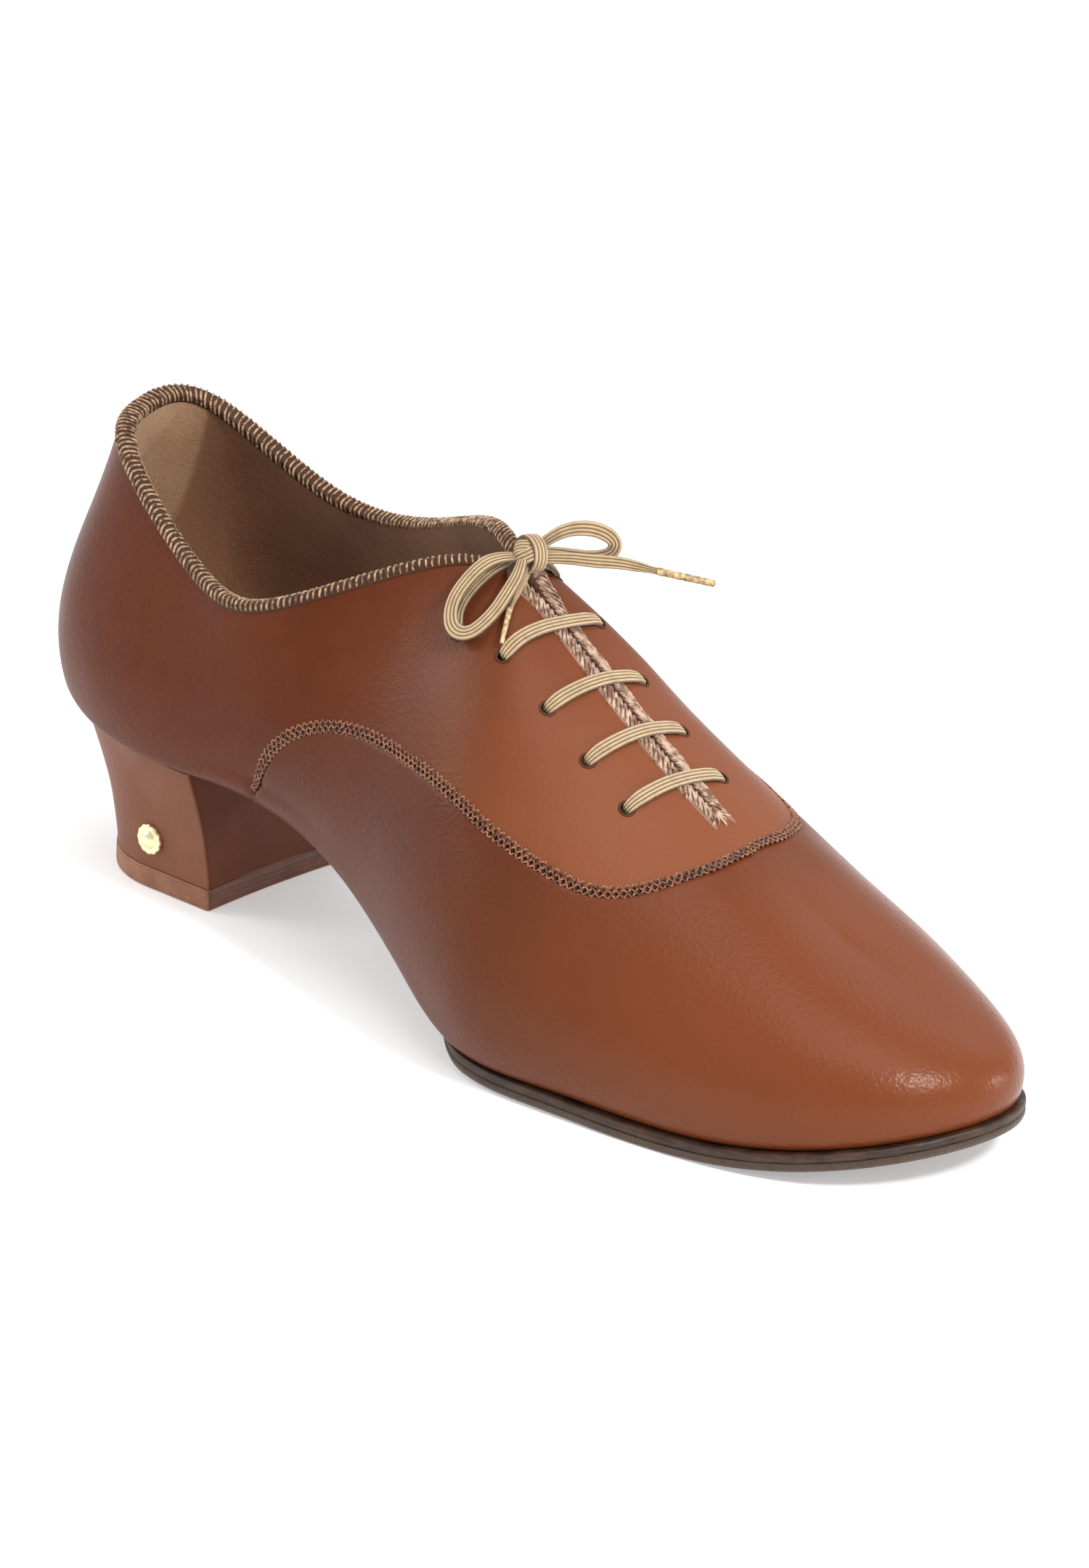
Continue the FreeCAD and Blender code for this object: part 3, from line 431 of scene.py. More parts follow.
def seam_at(seam, share):
    """Rib and height along the seam, from the feather line (0) to the ridge (1)."""
    point = spline(seam)(share * (len(seam) - 1))
    return point[..., 0], np.clip(point[..., 1], 0, 1)


def slit_height(rib):
    """Height of the quarter's edge along the lacing slit, which ends in a small round."""
    rounding = 0.05
    closing = np.sqrt(np.clip((SLIT_END - rib) / rounding, 0, 1))
    return 1 - SLIT_HALF_GAP * closing / rib_length(rib) * smooth(rib, 4.3, 4.8)


def columns(low_rib, low, high_rib, high, near, count):
    """Ribs and heights of a grid of columns, with fine rows near both ends of each."""
    share = np.linspace(0, 1, 33)
    ribs = mix(low_rib[:, None], high_rib[:, None], share)
    heights = mix(low[:, None], high[:, None], share)
    steps = np.linalg.norm(np.diff(skin(ribs, heights), axis=1), axis=-1)
    climbed = np.concatenate([np.zeros((len(steps), 1)), np.cumsum(steps, 1)], 1)
    rows = []
    for run, w, t in zip(climbed, ribs, heights):
        edge = near * min(1, run[-1] / (2.2 * near[-1] + 1e-9))
        middle = np.linspace(edge[-1], run[-1] - edge[-1], count + 2)[1:-1]
        marks = np.concatenate([edge, middle, run[-1] - edge[::-1]])
        rows.append((np.interp(marks, run, w), np.interp(marks, run, t)))
    rows = np.array(rows)
    return rows[:, 0], rows[:, 1]


def distance_to(points, line):
    """Distance of every point to the nearest point of a dense line."""
    flat = points.reshape(-1, 3)
    found = [np.sqrt(((part[:, None] - line[None]) ** 2).sum(-1).min(1))
             for part in np.array_split(flat, 1 + len(flat) // 2000)]
    return np.concatenate(found).reshape(points.shape[:-1])


def rolled(distance, radius):
    """0 at an edge and 1 from a radius inwards, round between."""
    return np.sqrt(np.clip(1 - np.clip(1 - distance / radius, 0, 1) ** 2, 0, 1))


def seam_line(seam, inner_side):
    """Ribs and heights of a dense line along one side's seam."""
    rib, t = seam_at(seam, np.linspace(0, 1, 420))
    return on_side(rib, inner_side), t


def seam_distance(base, half):
    """Distance of points to their own side's seam; the rows before half are the outer side's."""
    return np.concatenate([distance_to(part, skin(*seam_line(*seam)))
                           for part, seam in zip((base[:half], base[half:]), SEAMS)])


def quarter_grid(seam, inner_side):
    """Columns of one quarter: behind the seam, from its start under the foot, and along it."""
    share = np.linspace(0, 1, 190)
    low_rib, low = seam_at(seam, share)
    high_rib = np.interp(share, np.linspace(0, 1, len(TOP_AFTER_SEAM)), TOP_AFTER_SEAM)
    start, lead, steps = seam[0][0], 0.07, 10
    back = np.linspace(0, start - lead, 90, endpoint=False)
    foot = np.linspace(TUCK, 0, steps, endpoint=False)
    low_rib = np.concatenate([back, start + lead * foot / -TUCK, low_rib])
    low = np.concatenate([0 * back + TUCK, foot, low])
    turning = np.linspace(start - lead, high_rib[0], steps, endpoint=False)
    high_rib = np.concatenate([back, turning, high_rib])
    high = slit_height(high_rib)
    ribs, heights = columns(low_rib, low, high_rib, high, NEAR_EDGE, 50)
    return on_side(ribs, inner_side), heights


def quarters(material):
    """Both quarters as one sheet round the heel, thinned at the seam and drilled for the lace."""
    outer_side, inner_side = (quarter_grid(*seam) for seam in SEAMS)
    w = np.concatenate([outer_side[0][::-1], inner_side[0][1:]])
    t = np.concatenate([outer_side[1][::-1], inner_side[1][1:]])
    base, out = skin(w, t), normal(w, t)
    edge = seam_distance(base, len(outer_side[0]))
    height = QUARTER[1] - 0.5 * (1 - rolled(edge, 0.9))
    height = height + 0.12 * unevenness(base, 17, 3) * smooth(edge, 3, 12)
    return drill(shell("quarters_leather", base + out * height[..., None],
                       base + out * QUARTER[0], {"low": True, "high": True}, material,
                       slot="upper_leather"))


def drill(piece):
    """Cut the ten eyelets out of a panel."""
    radius = EYELET_RADIUS * MM
    cutter = bmesh.new()
    for x, inner_side in eyelets():
        w, t = eyelet_at(x, inner_side)
        out = Vector(normal(w, t))
        spot = Vector((skin(w, t) - ORIGIN) * MM)
        turn = out.to_track_quat("Z", "Y").to_matrix().to_4x4()
        bmesh.ops.create_cone(cutter, cap_ends=True, segments=28, radius1=radius, radius2=radius,
                              depth=8 * MM, matrix=Matrix.Translation(spot) @ turn)
    mesh = bpy.data.meshes.new("eyelet_cutter")
    cutter.to_mesh(mesh)
    cutter.free()
    tool = put("eyelet_cutter", mesh)
    cut = piece.modifiers.new("eyelets", "BOOLEAN")
    cut.object, cut.operation, cut.solver = tool, "DIFFERENCE", "EXACT"
    bpy.context.view_layer.update()
    ready = bpy.data.meshes.new_from_object(piece.evaluated_get(
        bpy.context.evaluated_depsgraph_get()))
    piece.modifiers.remove(cut)
    piece.data = ready
    bpy.data.objects.remove(tool)
    return piece


def eyelets():
    """Place along the shoe and side of all ten eyelets."""
    return [(x, side) for side in (False, True) for x in EYELET_X]


def eyelet_at(x, inner_side):
    return locate(x + EYELET_SKEW * inner_side, EYELET_Y[inner_side])


def heel_grip(material):
    """Napped lining at the heel back, skived thin where it runs out onto the side linings."""
    reach = 1.2
    w, t = np.meshgrid(np.linspace(-reach, reach, 90), np.linspace(0.04, 0.995, 60),
                       indexing="ij")
    edge = (reach - np.abs(w)) * 24
    inner_face = LINING[0] - 0.35 * smooth(edge, 0, 4) + 0.12
    back = LINING[1] + mix(-0.95, 0.0, smooth(edge, 5.2, 6.2))
    outer, inner = place(w, t, np.minimum(back, -2.2)), place(w, t, inner_face)
    outer = mix(inner, outer, 0.9 * smooth(edge, 0, 6)[..., None] + 0.02)
    piece = shell("heel_grip_nap", outer, inner, ALL_SIDES, material, slot="suede_lining")
    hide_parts("heel_grip")


def vamp_grid(seam, inner_side):
    """Columns of one side of the vamp, lapped under the quarter as far as the ridge."""
    rib, t = seam_at(seam, np.linspace(0, 1, 150))
    ahead, behind = smooth(rib, 5.6, 7), 1 - smooth(rib, 2.9, 3.4)
    rib = rib - 0.24 * behind - 0.22 * ahead
    high = np.minimum(t + LAP * (1 - behind), 1)
    front = np.linspace(rib[-1], 8, 90)[1:]
    rib = np.concatenate([rib, front])
    high = np.concatenate([np.maximum(high, TUCK + 0.03), 0 * front + 1])
    ribs, heights = columns(rib, 0 * rib + TUCK, rib, high, np.array([0, 0.4, 1.0]), 84)
    return on_side(ribs, inner_side), heights


def inside_quarters(w, t):
    """True where the quarters lie over the vamp."""
    rib = side_rib(w)
    share = np.linspace(0, 1, 400)
    found = np.zeros(rib.shape, bool)
    for seam, on_inner in SEAMS:
        seam_rib, seam_t = seam_at(seam, share)
        under = (t > np.interp(rib, seam_rib, seam_t)) | (rib < seam_rib[0])
        found |= under & ((np.mod(w, RIBS) > RIBS / 2) == on_inner)
    return found


def vamp(material):
    """The vamp as one sheet, pressed down under the quarters and eased over the ridge."""
    outer_side, inner_side = (vamp_grid(*seam) for seam in SEAMS)
    w = np.concatenate([outer_side[0], inner_side[0][::-1][1:]])
    t = np.concatenate([outer_side[1], inner_side[1][::-1][1:]])
    base, out = skin(w, t), normal(w, t)
    edge = seam_distance(base, len(outer_side[0]))
    lapped_under = inside_quarters(w, t)
    rise = (0.55 - VAMP[1]) * smooth(np.where(lapped_under, -edge, edge), 0.0, 1.6)
    lift = VAMP[1] + rise + 0.1 * unevenness(base, 21, 8) * smooth(t, 0, 0.2)
    outer = base + out * lift[..., None]
    inner = base + out * VAMP[0]
    lapped = t[:-1, -1] < 0.9999
    return ease_ridge(shell("vamp_leather", outer, inner,
                            {"low": True, "high": lapped, "start": True, "end": True},
                            material, slot="upper_leather"))


def ease_ridge(piece):
    """Round off the place where the ridge runs out into the toe."""
    mesh = piece.data
    a, b = read(mesh.edges, "vertices", 2, int).T
    spots = read(mesh.vertices, "co")
    x, y = (spots / MM + ORIGIN)[:, :2].T
    amount = smooth(x, 207, 218) * (1 - smooth(x, 246, 258)) * (1 - smooth(np.abs(y), 9, 16))
    amount = 0.55 * amount[:, None]
    links = np.maximum(np.bincount(a, minlength=len(x)) + np.bincount(b, minlength=len(x)), 1)
    for _ in range(400):
        total = np.stack([np.bincount(a, spots[b, k], len(x)) + np.bincount(b, spots[a, k], len(x))
                          for k in range(3)], -1)
        spots = mix(spots, total / links[:, None], amount)
    mesh.vertices.foreach_set("co", spots.ravel())
    mesh.update()
    return piece


# ---- thread, edging and eyelets ---------------------------------------------------------
def thread(name, runs, radius, material):
    """Round threads along runs of millimetre points, thinner at their ends."""
    points, faces = [], []
    turn = circle(6)
    for run in runs:
        run = np.asarray(run, float)
        along = unit(np.gradient(run, axis=0))
        guide = np.tile(unit(np.cross(along[0], vec(0.31, 0.52, 0.8))), (len(run), 1))
        side = square_to(guide, along)
        up = np.cross(along, side)
        thick = radius * np.concatenate([[0.55], np.ones(len(run) - 2), [0.55]])
        rings = (run[:, None] + thick[:, None, None]
                 * (side[:, None] * np.cos(turn)[:, None] + up[:, None] * np.sin(turn)[:, None]))
        faces += tube_faces(len(run), len(turn), len(points))
        points.extend(rings.reshape(-1, 3))
    return make(name, np.array(points), faces, material, slot="thread")


def even(line, extra, pitch):
    """Points of a dense line at an even pitch, with the surface directions that go with them."""
    run = travel(line)
    marks = np.linspace(0, run[-1], max(int(run[-1] / pitch), 2))
    return tuple(np.stack([np.interp(marks, run, part[:, k]) for k in range(3)], -1)
                 for part in (line, extra))


def openwork(seam, inner_side, rise, pitch):
    """Places along the seam: point, along, beside, outwards and the width of the openwork.

    The width is 1 along most of the seam and tapers at both of its ends."""
    w, t = seam_line(seam, inner_side)
    shown = t > 0.06
    w, t = w[shown], t[shown]
    line, out = even(place(w, t, np.full(len(w), rise)), normal(w, t), pitch)
    along = unit(np.gradient(line, axis=0))
    share = np.linspace(0, 1, len(line))
    width = (0.45 + 0.55 * smooth(share, 0, 0.09)) * (1 - 0.3 * smooth(share, 0.8, 1))
    return line, along, unit(np.cross(out, along)), out, width


def seam_lattice(seam, inner_side, material):
    """Openwork of three rows of thread crossings along the seam."""
    line, _, beside, out, width = openwork(seam, inner_side, 0.42, 0.85)
    swing = 0.52 * np.where(np.arange(len(line)) % 2, 1, -1)
    runs = []
    for row, step in ((-1.1, 1), (0.0, -1), (1.1, 1)):
        knots = line + beside * ((row + step * swing) * width)[:, None]
        for a, b, up in zip(knots[:-1], knots[1:], out[:-1]):
            middle = (a + b) / 2 + up * 0.16
            runs.append([a - up * 0.22, mix(a, middle, 0.35) + up * 0.05, middle,
                         mix(b, middle, 0.35) + up * 0.05, b - up * 0.22])
    thread(f"seam_stitching_{side_name(inner_side)}", runs, 0.24, material)


def needle_holes(seam, inner_side, material):
    """Dark pits between the crossings of the openwork."""
    sides = 10
    points, faces = [], []
    for row, shift in ((-0.6, 0.0), (0.6, 0.85)):
        for spot, a, b, up, width in zip(*openwork(seam, inner_side, 0.36, 1.7)):
            middle = spot + b * row * width + a * shift + up * 0.12
            first = len(points)
            rim, foot = first + 1, first + 1 + sides
            points.append(middle)
            for long, wide, deep in ((0.62, 0.42, 0.06), (0.55, 0.36, 0.5)):
                points.extend(middle + a * long * math.cos(q) + b * wide * math.sin(q) - up * deep
                              for q in circle(sides))
            for k in range(sides):
                n = (k + 1) % sides
                faces.append((first, rim + k, rim + n))
                faces.append((rim + k, foot + k, foot + n, rim + n))
            faces.append(tuple(foot + k for k in reversed(range(sides))))
    make(f"seam_holes_{side_name(inner_side)}", np.array(points), faces, material, slot="thread")


EDGE_SECTION = [(-2.5, 0.3), (-2.4, 0.75), (-1.4, 0.95), (-0.5, 0.9), (0.1, 0.55), (0.35, -0.2),
                (0.42, -1.2), (0.35, -2.3), (0.1, -3.0), (-0.5, -3.35), (-1.4, -3.4),
                (-2.4, -3.3), (-2.5, -2.8)]     # above the topline, outwards from the skin


def topline_stations(count):
    """Dense places along the topline from throat to throat: point, outwards, upwards.

    The last two grow shorter where the edging slims towards the throat."""
    w = np.linspace(THROAT, -THROAT, count)
    one = np.ones(count)
    point, out = skin(w, one), normal(w, one * 0.97)
    climb = unit(skin(w, one) - skin(w, one * 0.98))
    out = square_to(out, climb)
    slim = mix(1.0, 0.6, smooth(-w, 1.0, 3.2))[:, None]
    return point, out * mix(slim, 1.0, 0.5), climb * slim


def topline_edge(material):
    """Rounded binding over the topline."""
    point, out, climb = topline_stations(640)
    section = spline(EDGE_SECTION)(np.linspace(0, len(EDGE_SECTION) - 1, 30))
    rings = point[:, None] + climb[:, None] * section[:, :1] + out[:, None] * section[:, 1:]
    piece = make_tube("topline_edge", rings, material, merge=0.001, slot="binding")
    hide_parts("topline_binding")


def topline_overcast(material):
    """Close overcast stitches over the topline edge."""
    point, out, climb = topline_stations(2400)
    run = travel(point)
    section, centre = spline(EDGE_SECTION), np.array([-1.2, -1.2])
    runs = []
    steps = np.linspace(0.9, 11.1, 11)
    for k, mark in enumerate(np.arange(0.8, run[-1] - 1.5, 1.55)):
        slant = 0.9 + 0.25 * math.sin(2.3 * k)
        loop = []
        for share, s in zip(np.linspace(0, 1, len(steps)), steps):
            i = int(np.searchsorted(run, mark + slant * share))
            up, away = section(s)
            lift = 0.16 if 0 < share < 1 else -0.25
            push = unit(np.array([up, away]) - centre) * lift
            loop.append(point[i] + climb[i] * (up + push[0]) + out[i] * (away + push[1]))
        runs.append(loop)
    thread("topline_overcast", runs, 0.28, material)


BAND_WIDTH = 4.3


def slit_edging(inner_side, material, band_material):
    """Wide zigzag stitches over one edge of the lacing slit, on a pressed band."""
    ribs = np.linspace(4.52, SLIT_END - 0.01, 900)
    t = slit_height(ribs)
    lengths = rib_length(ribs)
    run = travel(skin(on_side(ribs, inner_side), t))

    def spot(along, inward, rise):
        """Places by the way along the slit, the way in from its edge and the height."""
        rib, height, length = (np.interp(along, run, v) for v in (ribs, t, lengths))
        height = np.minimum(height - inward / length, 0.9995)
        return place(on_side(rib, inner_side), height, rise)

    step, runs = 1.75, []
    share = np.array([0.0, 0.06, 0.3, 0.6, 0.9, 0.99, 1.0])
    rise = np.array([0.1, 0.62, 0.84, 0.88, 0.84, 0.6, 0.2])
    for k, mark in enumerate(np.arange(0.6, run[-1] - step, step)):
        taper = float(smooth(run[-1] - mark, 0, 9) * 0.35 + 0.65)
        width = BAND_WIDTH * (1 + 0.08 * math.sin(5.1 * k)) * taper
        for way, shift in ((1, 0.0), (-1, 0.25)):
            inward = (share if way > 0 else 1 - share) * width
            along = mark + shift * step + share * step * (0.62 + 0.1 * math.sin(3.7 * k + way))
            runs.append(spot(along, inward, rise if way > 0 else rise[::-1] + 0.04))
    thread(f"slit_stitching_{side_name(inner_side)}", runs, 0.3, material)
    across = [(BAND_WIDTH + 0.5, 0.3), (BAND_WIDTH + 0.3, 0.55), (BAND_WIDTH * 0.5, 0.62),
              (0.4, 0.6), (-0.05, 0.2), (-0.06, -1.2), (-0.02, -2.9), (0.6, -2.95)]
    marks = np.linspace(0, run[-1], 260)
    rings = np.stack([spot(marks, inward, rise) for inward, rise in across], 1)
    make_tube(f"slit_edge_{side_name(inner_side)}", rings, band_material, merge=0.001,
              slot="binding")


def slit_end_star(material):
    """Star of bar tacks where the slit stops."""
    w, t = locate(198.2, -0.3)
    spot, out = skin(w, t), normal(w, t)
    ahead = unit(ridge_line(2.72) - ridge_line(2.68))
    aside = np.cross(out, ahead)
    runs = []
    for k, angle in enumerate(np.radians([-78, -50, -22, 4, 30, 58, 84])):
        way = ahead * math.cos(angle) + aside * math.sin(angle)
        reach = 4.2 if k % 2 else 3.1
        runs.append([spot - way * 0.4 + out * 0.15, spot + way * 0.8 + out * 0.85,
                     spot + way * reach * 0.8 + out * 0.7, spot + way * reach + out * 0.1])
    piece = thread("slit_end_star", runs, 0.3, material)
    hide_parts("bar_tack")


def eyelet_rims(material):
    """Rims round the punched eyelets: a low bead, darker than the quarters."""
    turn, tube = circle(36), circle(10)
    ring_faces = grid_faces(len(turn) + 1, len(tube), wrap=True)
    total = len(turn) * len(tube)
    points, faces = [], []
    for x, inner_side in eyelets():
        w, t = eyelet_at(x, inner_side)
        spot, out = place(w, t, np.array(QUARTER[1] - 0.02)), normal(w, t)
        a = unit(np.cross(out, vec(0.2, 0.3, 0.1)))
        b = np.cross(out, a)
        first = len(points)
        for q in turn:
            way = a * math.cos(q) + b * math.sin(q)
            for p in tube:
                points.append(spot + way * (EYELET_RADIUS + 0.05 + 0.34 * math.cos(p))
                              + out * (0.22 * math.sin(p)))
        faces += [tuple(first + k % total for k in f) for f in ring_faces]
    make("eyelet_rims", np.array(points), faces, material, slot="upper_leather")


# ---- tongue -----------------------------------------------------------------------------
TONGUE_SPINE = profile([(118, 107.8), (138, 98.4), (155, 88.2), (172, 76.4), (190, 64.8),
                        (206, 55.3)])
TONGUE_HALF_WIDTH = profile([(118, 4.5), (128, 8), (140, 13.5), (170, 17.5), (206, 11.5)])
TONGUE_CROWN = profile([(118, 13), (128, 15), (140, 18), (170, 25), (206, 42)])
TONGUE_DEPTH, TONGUE_THICKNESS = 6.6, 1.2
TONGUE_SPAN = (127.2, 196.8)


def tongue_point(x, across, depth):
    """Point of the tongue, across from -1 to 1, so deep under its upper face."""
    slope = TONGUE_SPINE(x + 0.5) - TONGUE_SPINE(x - 0.5)
    down = unit(vec(slope, 0, -1))
    y = across * TONGUE_HALF_WIDTH(x)
    radius = TONGUE_CROWN(x) + depth * 0.3
    drop = radius - np.sqrt(np.maximum(radius * radius - y * y, 0))
    return vec(x, y, TONGUE_SPINE(x)) + down * (depth + drop)[..., None]


def tongue(material):
    """The tongue's leather, with its edges pared thin."""
    x, across = np.meshgrid(np.linspace(*TONGUE_SPAN, 90), np.linspace(-1, 1, 50), indexing="ij")
    edge = np.minimum((1 - np.abs(across)) * 9, x - TONGUE_SPAN[0])
    thin = 0.4 * TONGUE_THICKNESS * (1 - rolled(edge, 1.0))
    outer = tongue_point(x, across, TONGUE_DEPTH + thin)
    inner = tongue_point(x, across, TONGUE_DEPTH + TONGUE_THICKNESS - thin)
    piece = shell("tongue_leather", outer, inner, ALL_SIDES, material, body="tongue",
                  slot="upper_leather")
    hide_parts("tongue")


# ---- sole and heel ----------------------------------------------------------------------
SOLE_EDGE, WAIST_INSET = 2.4, 10.0
SOLE_START, SOLE_THICKNESS, TREAD_THICKNESS = 58.4, 4.4, 2.1
HEEL_RIB, HEEL_INSET = 2.27, 0.8
HEEL_BACK, HEEL_BREAST, BREAST_TOP = 14.8, 60.5, 57.0
HEEL_HALF_WIDTH, HEEL_ROUND, LIFT = 22.8, 24.0, 5.5
HEEL_FLARE_FROM = 48.0              # height below which the heel turns from the foot's outline
STUD = np.array([41.5, -23.4, 13.5])


def sole_edge(x):
    """How far the sole's edge stands out from the feather line; negative is under the foot."""
    tucked = 1.5 * smooth(x, 120, 138) * (1 - smooth(x, 165, 212))
    return mix(-WAIST_INSET, SOLE_EDGE, smooth(x, 128, 168)) - tucked


def sole_layer(name, node, heights, edge, material, slot):
    """One layer of the sole: a rounded band round the edge, and faces above and below.

    heights gives the top and the underside at any x. edge is the band's section from the top
    face to the underside, as (in from the edge, share of the thickness down)."""
    starts = []
    for inner_side in (False, True):
        ribs = np.linspace(1.2, 4.5, 900)
        low, out = feather(on_side(ribs, inner_side))
        starts.append(np.interp(SOLE_START, (low + out * sole_edge(low[:, :1]))[:, 0], ribs))
    half, rungs = 190, 12
    w = np.concatenate([np.linspace(starts[0], 8, half),
                        RIBS - np.linspace(starts[1], 8, half)[::-1][1:]])
    low, out = feather(w)
    rings = []
    for inward, share in edge:
        spot = low + out * (sole_edge(low[:, 0]) - inward)[:, None]
        above, below = heights(spot[:, 0])
        rings.append(vec(spot[:, 0], spot[:, 1], mix(above, below, share)))
    count, sides = len(w), len(edge)
    points = list(np.stack(rings, 1).reshape(-1, 3))
    faces = grid_faces(count, sides)
    for column in (0, sides - 1):
        ladder = np.zeros((half, rungs + 1), int)
        for i in range(half):
            ladder[i, 0], ladder[i, -1] = i * sides + column, (count - 1 - i) * sides + column
            a, b = points[ladder[i, 0]], points[ladder[i, -1]]
            for k in range(1, rungs):
                spot = mix(a, b, k / rungs)
                above, below = heights(spot[0])
                ladder[i, k] = len(points)
                points.append(vec(spot[0], spot[1], above if column == 0 else below))
        faces += [(ladder[i, k], ladder[i + 1, k], ladder[i + 1, k + 1], ladder[i, k + 1])
                  for i in range(half - 1) for k in range(rungs)]
    piece = make(name, np.array(points), faces, material, slot=slot)
    close_holes(piece)
    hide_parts(node)


def thinning(x):
    """The sole's full thickness under the tread, less where it runs up into the waist."""
    return mix(0.62, 1.0, smooth(x, 122, 182))


def sole_height(x, depth):
    return feather_height(x) - depth * thinning(x)


def midsole_heights(x):
    recess = 1.6 * (1 - smooth(x, 90, 102))
    return feather_height(x) - 0.1 - recess, sole_height(x, SOLE_THICKNESS - TREAD_THICKNESS)


def tread_heights(x):
    return sole_height(x, SOLE_THICKNESS - TREAD_THICKNESS), sole_height(x, SOLE_THICKNESS)


MIDSOLE_EDGE = [(3.0, 0), (1.2, 0), (0.5, 0.04), (0.12, 0.16), (0.0, 0.4), (0.02, 0.7),
                (0.2, 0.92), (0.5, 1.0), (3.0, 1)]
TREAD_EDGE = [(3.0, 0), (0.5, 0), (0.15, 0.08), (0.0, 0.3), (0.05, 0.6), (0.3, 0.88),
              (0.8, 1.0), (3.0, 1)]


def heel_outline(z, grow):
    """Closed outline of the heel at a height: round the back, then along the breast.

    share is 0 where the outline is the foot's and 1 at the lift, where it is a half oval with
    straight sides. The first part of the half outline is the round one."""
    falling = np.clip((HEEL_FLARE_FROM - z) / (HEEL_FLARE_FROM - LIFT), 0, 1)
    share = 1 - (1 - falling) ** 1.7
    round_part = 0.6
    w = np.linspace(-HEEL_RIB, HEEL_RIB, 25)
    low, out = feather(w)
    high = low - out * (HEEL_INSET - grow)
    f = np.abs(w) / HEEL_RIB
    angle = np.minimum(f / round_part, 1) * math.pi / 2
    x = HEEL_BACK + HEEL_ROUND * (1 - np.cos(angle))
    straight = np.maximum(f - round_part, 0) / (1 - round_part)
    x = x + straight * (HEEL_BREAST - HEEL_BACK - HEEL_ROUND)
    x = x - grow * np.cos(angle)
    y = (HEEL_HALF_WIDTH + grow) * np.sin(angle) * -np.sign(w)
    breast = mix(BREAST_TOP, HEEL_BREAST, share) + grow
    px, py = mix(high[:, 0], x, share), mix(high[:, 1], y, share)
    px[[0, -1]] = breast
    px = np.minimum(px, breast)
    side = spline(np.stack([px, py], -1))(np.linspace(0, len(w) - 1, 260))
    side[:, 0] = np.minimum(side[:, 0], breast)
    across = np.linspace(1, -1, 52)[1:-1]
    hollow = 0.9 * (1 - across ** 2) * share
    front = np.stack([breast - hollow, mix(side[-1, 1], side[0, 1], (1 - across) / 2)], -1)
    line = np.concatenate([side, front])
    return np.concatenate([line, np.full((len(line), 1), z)], -1)


def round_corners(rings, steps):
    """Soften the corners of an outline a little, in so many steps."""
    for _ in range(steps):
        for outline in rings:
            near = (outline + np.roll(outline, 1, 0) + np.roll(outline, -1, 0)) / 3
            sharp = np.linalg.norm(near - outline, axis=1) > 0.02
            outline[sharp] = near[sharp]
    return rings


def lofted(name, rings, material, slot, node, sharp):
    """Piece of the heel from a stack of outlines, with crisp edges above a sharp angle."""
    piece = make_tube(name, rings, material, merge=0.001, slot=slot)
    shade_by_angle(piece, sharp)
    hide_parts(node)
    return piece


def heel_cover(material, shadow):
    """Leather-covered heel, from the lift up to the seat that the quarters sit on."""
    levels = np.linspace(LIFT, 52, 60)
    stack = np.array(round_corners([heel_outline(z, 0.0) for z in levels], 1))
    over = levels[:, None] - (feather_height(stack[..., 0]) - 1.65)
    shares = np.concatenate([[0, 0.006, 0.02], np.linspace(0.05, 1, 48)])
    rings = np.zeros((len(shares), stack.shape[1], 3))
    for j in range(stack.shape[1]):
        seat = np.interp(0.0, over[:, j], levels)
        z = LIFT + shares * (seat - LIFT)
        for axis in (0, 1):
            rings[:, j, axis] = np.interp(z, levels, stack[:, j, axis])
        rings[:, j, 2] = z
    rings[..., :2] += (unevenness(rings, 9, 5) * 0.12)[..., None]
    centre = rings[:1].mean(axis=(0, 1))
    rings[0, :, :2] = mix(rings[0, :, :2], centre[:2], 0.02)
    seat = rings[-1] + unit(rings[-1] - rings[-1].mean(0)) * 0.32 - vec(0, 0, 0.25)
    count = len(seat)
    thread("seat_line", [seat[np.arange(-1, count) % count]], 0.38, shadow)
    return lofted("heel_leather", rings, material, "upper_leather", "heel_cover", 30)


LIFT_SECTION = [(-0.6, 5.5), (0.0, 5.42), (0.22, 5.1), (0.28, 3.6), (0.34, 1.2), (0.26, 0.45),
                (-0.1, 0.08), (-0.6, 0.0)]


def heel_lift(material):
    """Top piece of the heel, with its trimmed edge bulging a little."""
    rings = []
    for grow, z in LIFT_SECTION:
        level = heel_outline(LIFT, grow)
        level[:, 2] = z
        rings.append(level)
    return lofted("heel_top_piece", round_corners(rings, 2), material, "heel_lift", "heel_lift", 40)


STUD_SECTION = [(0, 1.9), (0.9, 1.82), (1.7, 1.5), (2.2, 1.02), (2.4, 0.8), (2.75, 0.86),
                (3.1, 0.98), (3.45, 0.9), (3.75, 0.6), (3.85, 0.2), (3.8, -0.3)]


def heel_stud(material):
    """Small domed ornament with a beaded rim, on the outer side of the heel."""
    radii, rises = np.array(STUD_SECTION).T
    turn = circle(60)
    beads = 1 + 0.035 * np.cos(12 * turn)[None] * smooth(radii, 2.4, 3.1)[:, None]
    r = radii[:, None] * beads
    face = STUD + vec(0, -0.35, 0)
    rings = vec(face[0] + r * np.cos(turn), face[1] - rises[:, None] + 0 * r,
                face[2] + r * np.sin(turn))
    faces = grid_faces(len(radii), len(turn), wrap=True)
    piece = make("heel_ornament", rings.reshape(-1, 3), faces, material, merge=0.001,
                 slot="stud_metal")
    close_holes(piece)
    shade_by_angle(piece, 50)
    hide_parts("heel_stud")


